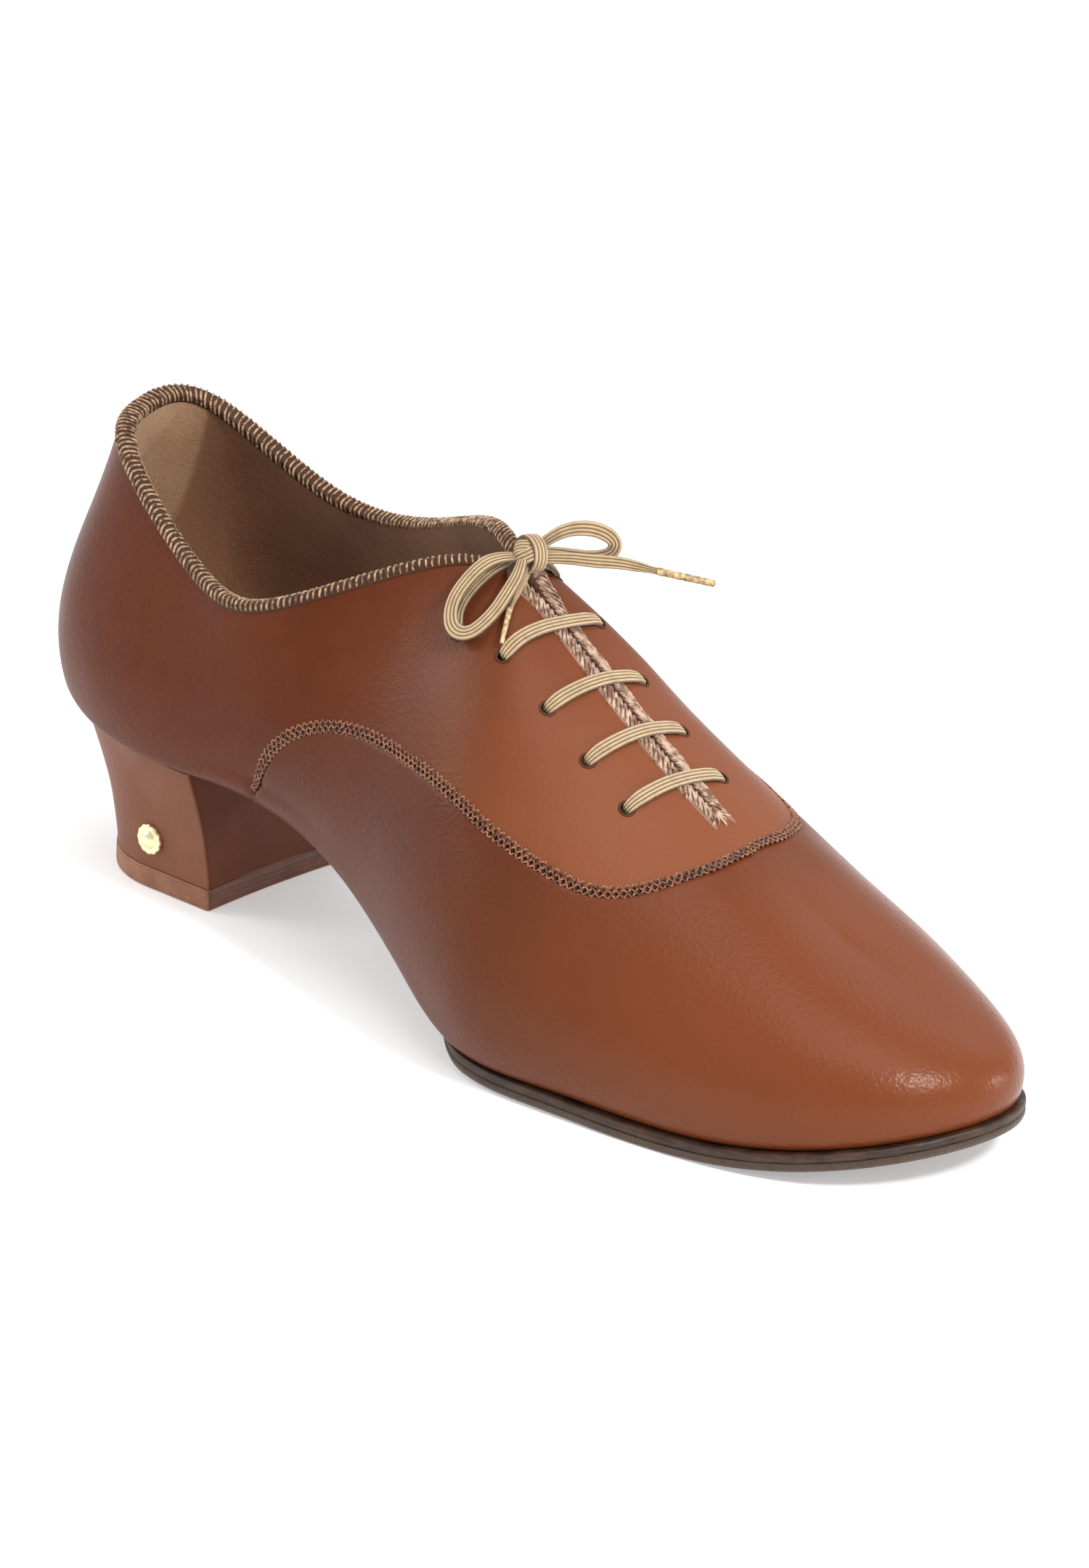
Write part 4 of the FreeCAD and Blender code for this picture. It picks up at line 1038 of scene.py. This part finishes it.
# ---- lace -------------------------------------------------------------------------------
LACE_WIDTH, LACE_THICK, LACE_STRANDS = 3.5, 1.2, 4
HOLE_WIDTH, HOLE_THICK = 2.5, 1.7       # the lace gathers up where it goes through an eyelet
KNOT = np.array([139.5, 1, 105.9])
LACE_OVER = QUARTER[1] + LACE_THICK / 2 + 0.2
LACE_UNDER = LINING[0] - LACE_THICK / 2 - 0.35
LEG_OUTER = [(135.2, -4.3, 103.2), (133.5, -11, 99), (132.9, -15.3, 94.3)]
LOOP_OUTER = [(138.4, -2.2, 105), (137.0, -7.4, 106.2), (134.8, -12.2, 103.2),
              (132.9, -17.2, 97.0), (135.0, -19.7, 91.4), (140.6, -19.6, 91.2),
              (143.4, -14.6, 95.8), (143.3, -9.4, 100.4), (142.6, -5.5, 103.2),
              (140.4, -2.2, 105)]
LOOP_INNER = [(139.9, 3.0, 106.4), (142.4, 6.0, 109.6), (146.0, 9.4, 111.3),
              (149.8, 12.9, 110.9), (152.6, 15.6, 108.3), (151.9, 15.2, 105.0),
              (148.6, 12.2, 103.9), (145.0, 8.8, 104.5), (142.2, 5.4, 105.3),
              (140.2, 2.0, 105.7)]
END_OUTER = [(138.8, 3.2, 106.4), (140.4, 0.5, 103.6), (141.8, -3.3, 100.7),
             (143.3, -7.3, 98.6), (144.7, -10.7, 96.6), (148.5, -17.2, 90.9)]
END_INNER = [(142.0, 1.6, 104.8), (146.8, 5.4, 105.2), (151.2, 9.4, 104.6),
             (155.4, 13.6, 104.3), (158.6, 16.9, 103.3), (161.6, 19.4, 102.5),
             (171.4, 28.4, 99.8)]


def read_route(points):
    """Points along the smooth line that has the route's points as its control points."""
    data = bpy.data.curves.new("route", "CURVE")
    data.dimensions = "3D"
    data.resolution_u = 16
    line = data.splines.new("NURBS")
    line.points.add(len(points) - 1)
    for spot, p in zip(line.points, points):
        spot.co = (*p, 1)
    line.order_u = 3
    line.use_endpoint_u = True
    holder = bpy.data.objects.new("route", data)
    mesh = bpy.data.meshes.new_from_object(holder)
    found = np.array([v.co for v in mesh.vertices])
    bpy.data.objects.remove(holder)
    bpy.data.meshes.remove(mesh)
    return found


def flat_section():
    """Outline of the flat lace, unit width and thickness, with one rib for every strand."""
    turn = circle(40)
    across = np.sign(np.cos(turn)) * np.abs(np.cos(turn)) ** 0.8 / 2
    rise = np.sign(np.sin(turn)) * np.abs(np.sin(turn)) ** 0.5 / 2
    ribs = 0.66 + 0.34 * np.abs(np.sin(across * math.pi * LACE_STRANDS))
    return across, rise * ribs


def ribbon(name, path, sides, width, thick, material):
    """Flat ribbed lace along a path. sides is the way its width runs, point by point."""
    along = unit(np.gradient(path, axis=0))
    side = square_to(sides, along)
    up = np.cross(side, along)
    across, rise = flat_section()
    width = np.broadcast_to(width, len(path))[:, None, None]
    thick = np.broadcast_to(thick, len(path))[:, None, None]
    rings = (path[:, None] + side[:, None] * across[None, :, None] * width
             + up[:, None] * rise[None, :, None] * thick)
    uv = np.stack([np.repeat(travel(path) / LACE_WIDTH, len(across)),
                   np.tile(across, len(path))], -1)
    return make_tube(name, rings, material, slot="lace", uv=uv)


def along_route(values, count):
    """Values given at a route's points, spread smoothly over a path of count points."""
    values = np.asarray(values, float)
    marks = np.linspace(0, len(values) - 1, count)
    series = values.reshape(len(values), -1).T
    spread = np.stack([np.interp(marks, np.arange(len(values)), one) for one in series], -1)
    return spread[:, 0] if values.ndim == 1 else spread


def eyelet_spot(index, inner_side, out):
    return place(*eyelet_at(EYELET_X[index], inner_side), np.array(out))


def across_slit(outer_x, inner_x, shares, out):
    """Places on the way across the slit from an outer eyelet to an inner one."""
    spots = [locate(mix(outer_x, inner_x, s), mix(*EYELET_Y, s)) for s in shares]
    return [place(w, t, np.array(out)) for w, t in spots]


def lace(material):
    """The laced part: from the knot, down one side, over every bar and up to the knot."""
    points, sides, widths = [], [], []

    def add(spots, side, width):
        points.extend(spots)
        sides.extend([side] * len(spots))
        widths.extend([width] * len(spots))

    def through(index, inner_side, rising):
        inward = 0.5 if inner_side else -0.5
        levels = (LACE_UNDER, -1.0, LACE_OVER - 0.35)
        spots = [eyelet_spot(index, inner_side, out) for out in levels]
        spots[2] = spots[2] - vec(0, inward, 0)
        gathered = [0.4, 1.0, 0.55]
        for k in (range(3) if rising else reversed(range(3))):
            add([spots[k]], ahead, gathered[k])

    ahead, aside = unit(vec(0.82, 0, -0.57)), vec(0.1, 1, 0.1)
    add([KNOT + vec(-2.0, -1.0, -1.4)], ahead, 0.8)
    add(LEG_OUTER, ahead, 0.9)
    add([eyelet_spot(0, False, LACE_OVER)], ahead, 0.9)
    add([eyelet_spot(0, False, LACE_UNDER)], ahead, 0.5)
    for x in (143, 155, 168, 180):
        add([place(*locate(x, EYELET_Y[False] - 3.6), np.array(LACE_UNDER - 0.1))], aside, 0.0)
    for index in (4, 3, 2, 1):
        outer_x, inner_x = EYELET_X[index], EYELET_X[index] + EYELET_SKEW
        through(index, False, True)
        shares = (0.1, 0.22, 0.4, 0.6, 0.78, 0.9)
        add(across_slit(outer_x, inner_x, shares, LACE_OVER + 0.15), ahead, 0.0)
        through(index, True, False)
        if index > 1:
            back = across_slit(EYELET_X[index - 1], inner_x, (0.76, 0.51, 0.25), LACE_UNDER - 0.2)
            add(back, ahead, 0.0)
    add([eyelet_spot(0, True, LACE_UNDER)], ahead, 0.8)
    add([eyelet_spot(0, True, LACE_OVER + 1.0)], ahead, 0.5)
    add([KNOT + vec(1, 1.6, -1.4)], ahead, 0.5)
    path = read_route(points)
    gather = along_route(widths, len(path))
    piece = ribbon("lace_rows", path, along_route(sides, len(path)),
                   mix(LACE_WIDTH, HOLE_WIDTH, gather), mix(LACE_THICK, HOLE_THICK, gather),
                   material)
    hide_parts("lace")


def free_cord(name, node, route, sides, widths, thicks, material):
    """A loop or end of the bow: a free piece of the lace."""
    path = read_route(route)
    count = len(path)
    piece = ribbon(name, path, along_route(sides, count), along_route(widths, count),
                   along_route(thicks, count), material)
    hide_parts(node)


def bow(material, tip_material):
    """Two loops and two ends with their aglets."""
    outer_front = unit(vec(0.62, -0.68, 0.38))
    outward = unit(vec(0.15, -0.75, 0.65))

    def facing(route, look):
        """Way across the lace's width, point by point, where its flat faces a direction."""
        run = np.gradient(np.asarray(route, float), axis=0)
        return unit(np.cross(look, run))

    count = len(LOOP_OUTER)
    free_cord("bow_loop_outer", "lace_loop_outer", LOOP_OUTER, facing(LOOP_OUTER, outward),
              [2.4] + [3.5] * (count - 2) + [2.4], [1.5] + [1.25] * (count - 2) + [1.5],
              material)
    count = len(LOOP_INNER)
    free_cord("bow_loop_inner", "lace_loop_inner", LOOP_INNER, facing(LOOP_INNER, outer_front),
              [2.4, 3.2, 3.5, 3.5, 3.2, 3.1, 3.2, 3.2, 3.0, 2.4],
              [1.5] + [1.25] * (count - 2) + [1.5], material)
    tip = aglet("lace_tip_outer", "aglet_outer", END_OUTER[-2:], (0.72, 0.5), tip_material)
    free_cord("bow_end_outer", "lace_end_outer", END_OUTER, [outward] * 6,
              [2.6, 2.6, 2.4, 2.0, 1.2, 0.7], [1.3, 1.3, 1.3, 1.2, 1.0, 0.6],
              material)
    tip = aglet("lace_tip_inner", "aglet_inner", END_INNER[-2:], (0.95, 0.85), tip_material)
    free_cord("bow_end_inner", "lace_end_inner", END_INNER,
              facing(END_INNER, outer_front), [2.6, 2.8, 3.1, 2.9, 2.5, 1.7, 1.0],
              [1.4, 1.3, 1.2, 1.2, 1.3, 1.3, 0.8], material)


def aglet(name, node, ends, radii, material):
    """Tightly twisted, stiffened tip of the lace: two strands wound round each other."""
    start, stop = (np.array(p, float) for p in ends)
    way = unit(stop - start)
    side = unit(np.cross(way, vec(0.2, 0.3, 0.9)))
    up = np.cross(way, side)
    share = np.linspace(0, 1, 60)
    length = np.linalg.norm(stop - start)
    angle = circle(28)
    pitch = 4.2
    twist = share[:, None] * length / pitch * 2 * math.pi
    radius = mix(radii[0], radii[1], share)
    radius = radius * np.sqrt(np.clip((1 - share) / 0.02, 0.12, 1))
    lobes = 0.86 + 0.14 * np.abs(np.cos(angle[None] - twist)) ** 0.7
    r = radius[:, None] * lobes
    rings = ((start + way * (share * length)[:, None])[:, None]
             + r[..., None] * (side * np.cos(angle)[:, None] + up * np.sin(angle)[:, None]))
    faces = grid_faces(len(share), len(angle), wrap=True)
    piece = make(name, rings.reshape(-1, 3), faces, material, slot="aglet")
    close_holes(piece)
    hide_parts(node)
    return piece


def knot(material):
    """The knot: two crossed turns of the flat lace over a core, the upper one upright."""
    upright, crosswise = unit(vec(0.62, -0.25, -0.75)), unit(vec(0.25, 0.9, -0.1))
    outward = np.cross(crosswise, upright)
    centre = KNOT + vec(0.6, -0.2, -0.3)
    turn = np.linspace(0, 2 * math.pi, 49)

    def wrap(name, long_way, long_reach, lift, width, lean):
        flat = unit(np.cross(outward, long_way))
        round_turn = (long_way * np.cos(turn)[:, None] * long_reach
                      + outward * np.sin(turn)[:, None] * lift)
        shift = flat * (np.sin(turn) * lean)[:, None]
        ribbon(name, centre + round_turn + shift, np.tile(flat, (len(turn), 1)), width, 1.3,
               material)

    wrap("knot_turn_upright", upright, 4.0, 3.1, 3.6, 0.7)
    wrap("knot_turn_left", unit(crosswise - upright * 0.35), 3.4, 2.2, 3.4, -0.5)
    wrap("knot_turn_right", unit(crosswise + upright * 0.45), 3.6, 2.0, 3.2, 0.5)
    sphere = np.linspace(0, math.pi, 16)
    rings = [centre + (crosswise * math.cos(q) * 3.4)
             + math.sin(q) * (upright * np.cos(turn[:-1])[:, None] * 3.4
                              + outward * np.sin(turn[:-1])[:, None] * 2.2) for q in sphere[1:-1]]
    faces = grid_faces(len(rings), len(turn) - 1, wrap=True)
    core = make("knot_core", np.concatenate(rings), faces, material, slot="lace")
    close_holes(core)
    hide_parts("lace_knot")


# ---- materials --------------------------------------------------------------------------
class Nodes:
    """A material's node tree, with one short call for each kind of node."""

    def __init__(self, name):
        self.material = bpy.data.materials.new(name)
        self.material.use_nodes = True
        self.tree = self.material.node_tree
        self.shader = self.tree.nodes["Principled BSDF"]
        place_node = self.tree.nodes.new("ShaderNodeTexCoord")
        self.place, self.uv = place_node.outputs["Object"], place_node.outputs["UV"]
        self.height = None

    def feed(self, socket, value):
        """Link another node's output to a socket, or set a number or a colour on it."""
        if isinstance(value, bpy.types.NodeSocket):
            self.tree.links.new(value, socket)
        else:
            socket.default_value = (*value, 1) if isinstance(value, tuple) else value

    def add(self, kind, **inputs):
        """New node with values or other nodes' outputs on its named inputs."""
        node = self.tree.nodes.new("ShaderNode" + kind)
        for name, value in inputs.items():
            self.feed(node.inputs[name.replace("_", " ")], value)
        return node

    def noise(self, scale, detail=3.0, roughness=0.55):
        return self.add("TexNoise", Vector=self.place, Scale=scale, Detail=detail,
                        Roughness=roughness).outputs["Fac"]

    def cells(self, scale):
        return self.add("TexVoronoi", Vector=self.place, Scale=scale).outputs["Distance"]

    def axis(self, name, source=None):
        return self.add("SeparateXYZ", Vector=source or self.place).outputs[name]

    def calculate(self, operation, a, b=0.5, c=0.5):
        node = self.add("Math")
        node.operation = operation
        for socket, value in zip(node.inputs, (a, b, c)):
            self.feed(socket, value)
        return node.outputs[0]

    def spread(self, value, low, high, start=0.0, end=1.0):
        """Smooth passage from start to end as a value goes from low to high."""
        node = self.add("MapRange", Value=value, From_Min=low, From_Max=high, To_Min=start,
                        To_Max=end)
        node.interpolation_type = "SMOOTHSTEP"
        return node.outputs[0]

    def blend(self, amount, a, b):
        """Colour between a and b, by an amount that is held from 0 to 1."""
        node = self.add("Mix")
        node.data_type = "RGBA"
        for index, value in ((0, amount), (6, a), (7, b)):
            self.feed(node.inputs[index], value)
        return node.outputs[2]

    def bump(self, height, distance, strength=1.0):
        """One more layer of relief, on top of the layers so far."""
        node = self.add("Bump", Strength=strength, Distance=distance, Height=height)
        if self.height is not None:
            self.feed(node.inputs["Normal"], self.height)
        self.height = node.outputs[0]
        self.feed(self.shader.inputs["Normal"], self.height)

    def finish(self, color, roughness, **more):
        """Feed the shader's inputs by name and hand back the material."""
        for name, value in {"Base_Color": color, "Roughness": roughness, **more}.items():
            self.feed(self.shader.inputs[name.replace("_", " ")], value)
        return self.material


def leather(name, dark, light, front=None, reach=(0.0, 0.1), rough=0.38, grain=1.0,
            gloss=0.17, polish=0.0):
    """Smooth calf: fine pores, soft clouds of colour and a waxed shine.

    front is the colour that it turns to between the two places of reach, along the shoe."""
    n = Nodes(name)
    clouds = n.calculate("MULTIPLY_ADD", n.noise(26, 4.0), 0.9, -0.12)
    amount = n.calculate("MULTIPLY_ADD", n.noise(190, 3.0), 0.35, clouds)
    color = n.blend(amount, dark, light)
    # colour turning to front along the shoe; on the quarters and the vamp this is partly painted
    # light
    if front:
        shift = n.calculate("MULTIPLY_ADD", n.noise(18, 3.0), 0.04, -0.02)
        forward = n.calculate("ADD", n.axis("X"), shift)
        color = n.blend(n.spread(forward, *reach, 0.0, 0.8), color, front)
    n.bump(n.noise(420, 3.0), 0.00022, 0.22 * grain)
    n.bump(n.cells(800), 0.00016, 0.3 * grain)
    n.bump(n.cells(1500), 0.00010, 0.35 * grain)
    n.bump(n.noise(2600, 2.0), 0.00006, 0.3 * grain)
    shine = n.calculate("MULTIPLY_ADD", n.noise(60, 2.0), 0.16, rough - 0.08)
    if front:
        shine = n.calculate("SUBTRACT", shine, n.spread(forward, *reach, 0.0, polish))
    return n.finish(color, shine, Specular_IOR_Level=gloss,
                    Specular_Tint=(1.0, 0.86, 0.78))


def nap(name, dark, light, sheen=0.12, worn=None, reach=(0.0, 0.1)):
    """Brushed suede or napped lining, turning to the colour worn between the places of reach.

    These places lie along the shoe at floor level, on lines that lean forwards going up."""
    n, scale, lean = Nodes(name), 1100, 0.365
    brushed = n.calculate("MULTIPLY_ADD", n.noise(45, 5.0), 0.8, n.calculate(
        "MULTIPLY", n.noise(scale, 4.0), 0.35))
    color = n.blend(n.spread(brushed, 0.3, 0.85), dark, light)
    if worn:
        slanted = n.calculate("MULTIPLY_ADD", n.axis("Z"), -lean, n.axis("X"))
        color = n.blend(n.spread(slanted, *reach), color, worn)
    n.bump(n.noise(scale, 5.0, roughness=0.7), 0.00035, 0.8)
    return n.finish(color, 0.85, Sheen_Weight=sheen, Sheen_Roughness=0.5,
                    Specular_IOR_Level=0.2)


def woven(name, dark, light):
    """Plain-woven backing cloth, with threads 0.7 mm apart."""
    n = Nodes(name)
    turn = 2 * math.pi / (0.7 * MM)
    warp = n.calculate("SINE", n.calculate("MULTIPLY", n.axis("X"), turn))
    weft = n.calculate("SINE", n.calculate("MULTIPLY", n.axis("Z"), turn))
    cross = n.calculate("MULTIPLY", warp, weft)
    color = n.blend(n.calculate("MULTIPLY_ADD", cross, 0.3, n.noise(300, 3.0)), dark, light)
    n.bump(cross, 0.0001, 0.5)
    return n.finish(color, 0.85, Sheen_Weight=0.25, Specular_IOR_Level=0.2)


def thread_look(name, dark, light, rough=0.55, patch=240):
    """Waxed sewing thread, lighter in some stitches than in others; on the seam these lighter flecks
    are painted highlights.
    """
    n = Nodes(name)
    color = n.blend(n.spread(n.noise(patch, 3.0), 0.35, 0.65), dark, light)
    n.bump(n.noise(3800, 2.0), 0.00008, 0.5)
    return n.finish(color, rough, Sheen_Weight=0.15, Specular_IOR_Level=0.35)


def lace_look(name, dark, light):
    """Flat woven lace: cords side by side, each of them twisted."""
    n = Nodes(name)
    along, across = n.axis("X", n.uv), n.axis("Y", n.uv)
    cord = n.calculate("ABSOLUTE", n.calculate("SINE", n.calculate(
        "MULTIPLY", across, LACE_STRANDS * math.pi)))
    slant = n.calculate("MULTIPLY_ADD", along, 30.0, n.calculate("MULTIPLY", across, 34.0))
    ply = n.calculate("ABSOLUTE", n.calculate("SINE", slant))
    fleck = n.noise(420, 3.0)
    # colour runs from dark in the grooves between the cords and along each twist to light on their
    # crests: painted shade and painted highlight, with flecks of the lace's own uneven tone
    painted_light_and_fleck = n.calculate("MULTIPLY", n.calculate("POWER", cord, 0.9),
                       n.calculate("MULTIPLY_ADD", ply, 0.5, 0.5))
    painted_light_and_fleck = n.calculate("MULTIPLY", painted_light_and_fleck, n.spread(fleck, 0.2, 0.6, 0.7, 1.0))
    color = n.blend(painted_light_and_fleck, dark, light)
    n.bump(cord, 0.00035, 0.9)
    n.bump(ply, 0.00018, 0.8)
    n.bump(n.noise(3000, 2.0), 0.00006, 0.5)
    return n.finish(color, 0.62, Sheen_Weight=0.3, Specular_IOR_Level=0.35)


def twisted_look(name, dark, light):
    """Aglet: the lace's end, twisted and waxed hard."""
    n = Nodes(name)
    color = n.blend(n.spread(n.noise(900, 3.0), 0.3, 0.7), dark, light)
    n.bump(n.noise(1500, 3.0), 0.0001, 0.5)
    return n.finish(color, 0.42, Specular_IOR_Level=0.5)


def layered_edge(name, dark, light):
    """Trimmed edge of pressed leather, stained dark, with its layers just showing."""
    n = Nodes(name)
    layers = n.calculate("SINE", n.calculate("MULTIPLY_ADD", n.axis("Z"), 5200.0,
                                             n.calculate("MULTIPLY", n.noise(90, 3.0), 9.0)))
    amount = n.calculate("MULTIPLY_ADD", layers, 0.16, n.spread(n.noise(170, 4.0), 0.3, 0.75))
    color = n.blend(amount, dark, light)
    n.bump(layers, 0.00008, 0.5)
    n.bump(n.noise(700, 4.0), 0.00016, 0.5)
    return n.finish(color, 0.5, Specular_IOR_Level=0.4)


def metal(name, color, rough):
    """Metal, a little rubbed."""
    n = Nodes(name)
    worn = n.calculate("MULTIPLY_ADD", n.noise(500, 3.0), 0.12, rough - 0.06)
    n.bump(n.noise(1800, 2.0), 0.00003, 0.3)
    return n.finish(color, worn, Metallic=1.0)


def cork(name):
    n = Nodes(name)
    grains = n.cells(420)
    color = n.blend(n.spread(grains, 0.1, 0.6), (0.28, 0.15, 0.07), (0.10, 0.05, 0.025))
    n.bump(grains, 0.0003, 0.6)
    return n.finish(color, 0.85)


def foam(name):
    n = Nodes(name)
    n.bump(n.cells(900), 0.0002, 0.7)
    return n.finish(n.blend(n.noise(300), (0.55, 0.50, 0.40), (0.66, 0.60, 0.50)), 0.9)


def board(name):
    n = Nodes(name)
    fibres = n.noise(700, 5.0)
    n.bump(fibres, 0.0001, 0.5)
    return n.finish(n.blend(fibres, (0.20, 0.13, 0.08), (0.34, 0.24, 0.15)), 0.85)


def studio_floor():
    n = Nodes("studio_floor")
    return n.finish(n.blend(n.noise(2, 2.0), (0.80, 0.80, 0.80), (0.81, 0.81, 0.81)), 0.55,
                    Emission_Color=(1, 1, 1), Emission_Strength=0.33)


# ---- the shoe ---------------------------------------------------------------------------
def looks():
    """Every finish by the name of its use."""
    return {
        # the quarter lightens towards the instep and the vamp towards the toe: partly the calf's own
        # tone, partly painted light where the upper faces up to the lamps
        "quarter": leather("quarter_calf", (0.062, 0.011, 0.003), (0.122, 0.027, 0.008),
                           front=(0.215, 0.066, 0.026), reach=(-0.040, 0.060)),
        "vamp": leather("vamp_calf", (0.066, 0.015, 0.005), (0.116, 0.029, 0.010),
                        front=(0.165, 0.041, 0.012), reach=(0.015, 0.100), rough=0.40,
                        gloss=0.20, polish=0.12, grain=1.3),
        "heel": leather("heel_calf", (0.135, 0.044, 0.022), (0.225, 0.086, 0.046), rough=0.46),
        # darker copy of the heel calf for the forward-facing breast: painted shade
        "breast": leather("breast_calf_painted_shade", (0.088, 0.022, 0.010), (0.146, 0.042, 0.020), rough=0.5),
        "tongue": leather("tongue_calf", (0.018, 0.006, 0.003), (0.036, 0.011, 0.005), rough=0.6),
        "edge": leather("edge_leather", (0.034, 0.014, 0.007), (0.085, 0.036, 0.019), rough=0.55),
        "rim": leather("rim_leather", (0.045, 0.014, 0.006), (0.090, 0.030, 0.014), rough=0.5),
        "band": leather("band_leather", (0.200, 0.088, 0.052), (0.380, 0.215, 0.145), rough=0.55),
        "lining": nap("lining_nap", (0.190, 0.084, 0.041), (0.310, 0.148, 0.078)),
        "grip": nap("grip_nap", (0.290, 0.160, 0.084), (0.450, 0.270, 0.152),
                    worn=(0.235, 0.110, 0.056), reach=(-0.1601, -0.1585)),
        "sock": nap("sock_nap", (0.140, 0.085, 0.050), (0.220, 0.140, 0.088)),
        "cloth": woven("vamp_cloth", (0.16, 0.10, 0.06), (0.26, 0.18, 0.11)),
        # the seam thread is leather brown; its lighter flecks are painted highlights
        "seam": thread_look("seam_thread", (0.060, 0.014, 0.004), (0.340, 0.130, 0.058), patch=1300),
        "hole": thread_look("needle_shadow", (0.012, 0.003, 0.001), (0.024, 0.007, 0.002), 0.95),
        "overcast": thread_look("overcast_thread", (0.075, 0.030, 0.014), (0.460, 0.300, 0.175),
                                patch=800),
        "zigzag": thread_look("zigzag_thread", (0.150, 0.070, 0.042), (0.540, 0.380, 0.275),
                              patch=500),
        "lace": lace_look("flat_lace", (0.085, 0.038, 0.013), (0.830, 0.580, 0.300)),
        "aglet": twisted_look("lace_tip", (0.220, 0.130, 0.055), (0.620, 0.440, 0.230)),
        "sole": layered_edge("sole_edge", (0.020, 0.008, 0.004), (0.062, 0.027, 0.014)),
        "tread": nap("tread_suede", (0.050, 0.030, 0.020), (0.090, 0.058, 0.040), sheen=0.2),
        "lift": layered_edge("lift_edge", (0.215, 0.082, 0.038), (0.300, 0.130, 0.066)),
        # darker copy of the lift's edge for its forward face: painted shade
        "lift_breast_shade": layered_edge("lift_front_painted_shade", (0.105, 0.032, 0.014), (0.150, 0.052, 0.025)),
        "gold": metal("pale_gold", (0.90, 0.80, 0.50), 0.32),
        "steel": metal("spring_steel", (0.42, 0.43, 0.45), 0.35),
        "cork": cork("cork_filler"),
        "foam": foam("heel_foam"),
        "board": board("pressed_board"),
        "wood": board("heel_core"),
    }


NODE_LOOKS = {
    "quarter_lining_outer": "lining", "quarter_lining_inner": "lining", "heel_pad": "foam",
    "vamp_lining": "cloth", "tongue_lining": "cloth", "tongue_base": "tongue",
    "sock_liner": "sock", "insole_board": "board", "heel_counter": "board",
    "toe_puff": "board", "facing_stay_outer": "cloth", "facing_stay_inner": "cloth",
    "forepart_filler": "cork", "shank": "steel", "shank_rivets": "steel", "heel_nails": "steel",
    "heel_screw": "steel", "lift_pins": "steel", "heel_block": "wood",
}


def build(look):
    for name, panel, use in (("quarters", quarters, "quarter"), ("vamp", vamp, "vamp")):
        piece = second_look(panel(look[use]), look["lining"], towards_foot)
        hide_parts(name)
    for seam, inner_side in SEAMS:
        seam_lattice(seam, inner_side, look["seam"])
        needle_holes(seam, inner_side, look["hole"])
        slit_edging(inner_side, look["zigzag"], look["band"])
    topline_edge(look["edge"])
    topline_overcast(look["overcast"])
    slit_end_star(look["zigzag"])
    eyelet_rims(look["rim"])
    tongue(look["tongue"])
    sole_layer("midsole_edge", "midsole", midsole_heights, MIDSOLE_EDGE, look["sole"],
               "sole_leather")
    sole_layer("tread_edge", "tread", tread_heights, TREAD_EDGE, look["tread"], "suede_tread")
    heel_grip(look["grip"])
    # the forward faces of the heel and the lift take darker copies of their finishes: painted shade
    # on the breast
    second_look(heel_cover(look["heel"], look["hole"]), look["breast"], towards_toe)
    second_look(heel_lift(look["lift"]), look["lift_breast_shade"], towards_toe)
    heel_stud(look["gold"])
    lace(look["lace"])
    knot(look["lace"])
    bow(look["lace"], look["aglet"])
    for name, use in NODE_LOOKS.items():
        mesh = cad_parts[name].data
        mesh.materials.clear()
        mesh.materials.append(look[use])


build(looks())


# ---- camera, floor and light ----------------------------------------------------------
def camera():
    """Camera on the outer side and ahead of the shoe, looking down on it."""
    data = bpy.data.cameras.new("camera")
    data.lens, data.sensor_width = 128.15, 36
    data.shift_x, data.shift_y = 0.0145, 0.0127
    eye, distance = put("camera", data), 1.277
    azimuth, elevation, roll = math.radians(42.63), math.radians(22.19), math.radians(1.45)
    back = Vector((math.sin(azimuth) * math.cos(elevation),
                   -math.cos(azimuth) * math.cos(elevation), math.sin(elevation)))
    target = Vector((np.array([140.0, 0, 45]) - ORIGIN) * MM)
    eye.location = target + back * distance
    aim = back.to_track_quat("Z", "Y").to_matrix() @ Matrix.Rotation(roll, 3, "Z")
    eye.rotation_euler = aim.to_euler()
    bpy.context.scene.camera = eye


def floor(material):
    mesh = bpy.data.meshes.new("floor")
    far = 6.0
    mesh.from_pydata([(-far, -far, 0), (far, -far, 0), (far, far, 0), (-far, far, 0)], [],
                     [(0, 1, 2, 3)])
    ground = put("floor", mesh)
    mesh.materials.append(material)


def soft_box(name, spot, size, power):
    """Round area light, turned to the shoe."""
    data = bpy.data.lights.new(name, "AREA")
    data.shape, data.size, data.energy = "DISK", size, power
    light = put(name, data)
    light.location = spot
    light.rotation_euler = Vector(spot).to_track_quat("Z", "Y").to_euler()


camera()
floor(studio_floor())
soft_box("overhead", (0.35, -0.15, 1.7), 1.3, 10)
soft_box("toe_side", (1.5, -0.5, 0.9), 0.7, 2)
soft_box("toe_glint", (0.94, -0.09, 0.91), 0.2, 11)
soft_box("toe_tip_glint", (0.93, 0.88, 0.25), 0.12, 3)
soft_box("heel_side", (-1.3, -0.7, 0.8), 0.8, 8)
soft_box("back", (0.1, 1.4, 1.3), 1.0, 2)
world = bpy.data.worlds.new("studio")
bpy.context.scene.world = world
world.use_nodes = True
world.node_tree.nodes["Background"].inputs["Color"].default_value = (1, 1, 1, 1)
world.node_tree.nodes["Background"].inputs["Strength"].default_value = 0.74
bpy.context.scene.view_settings.view_transform = "Standard"
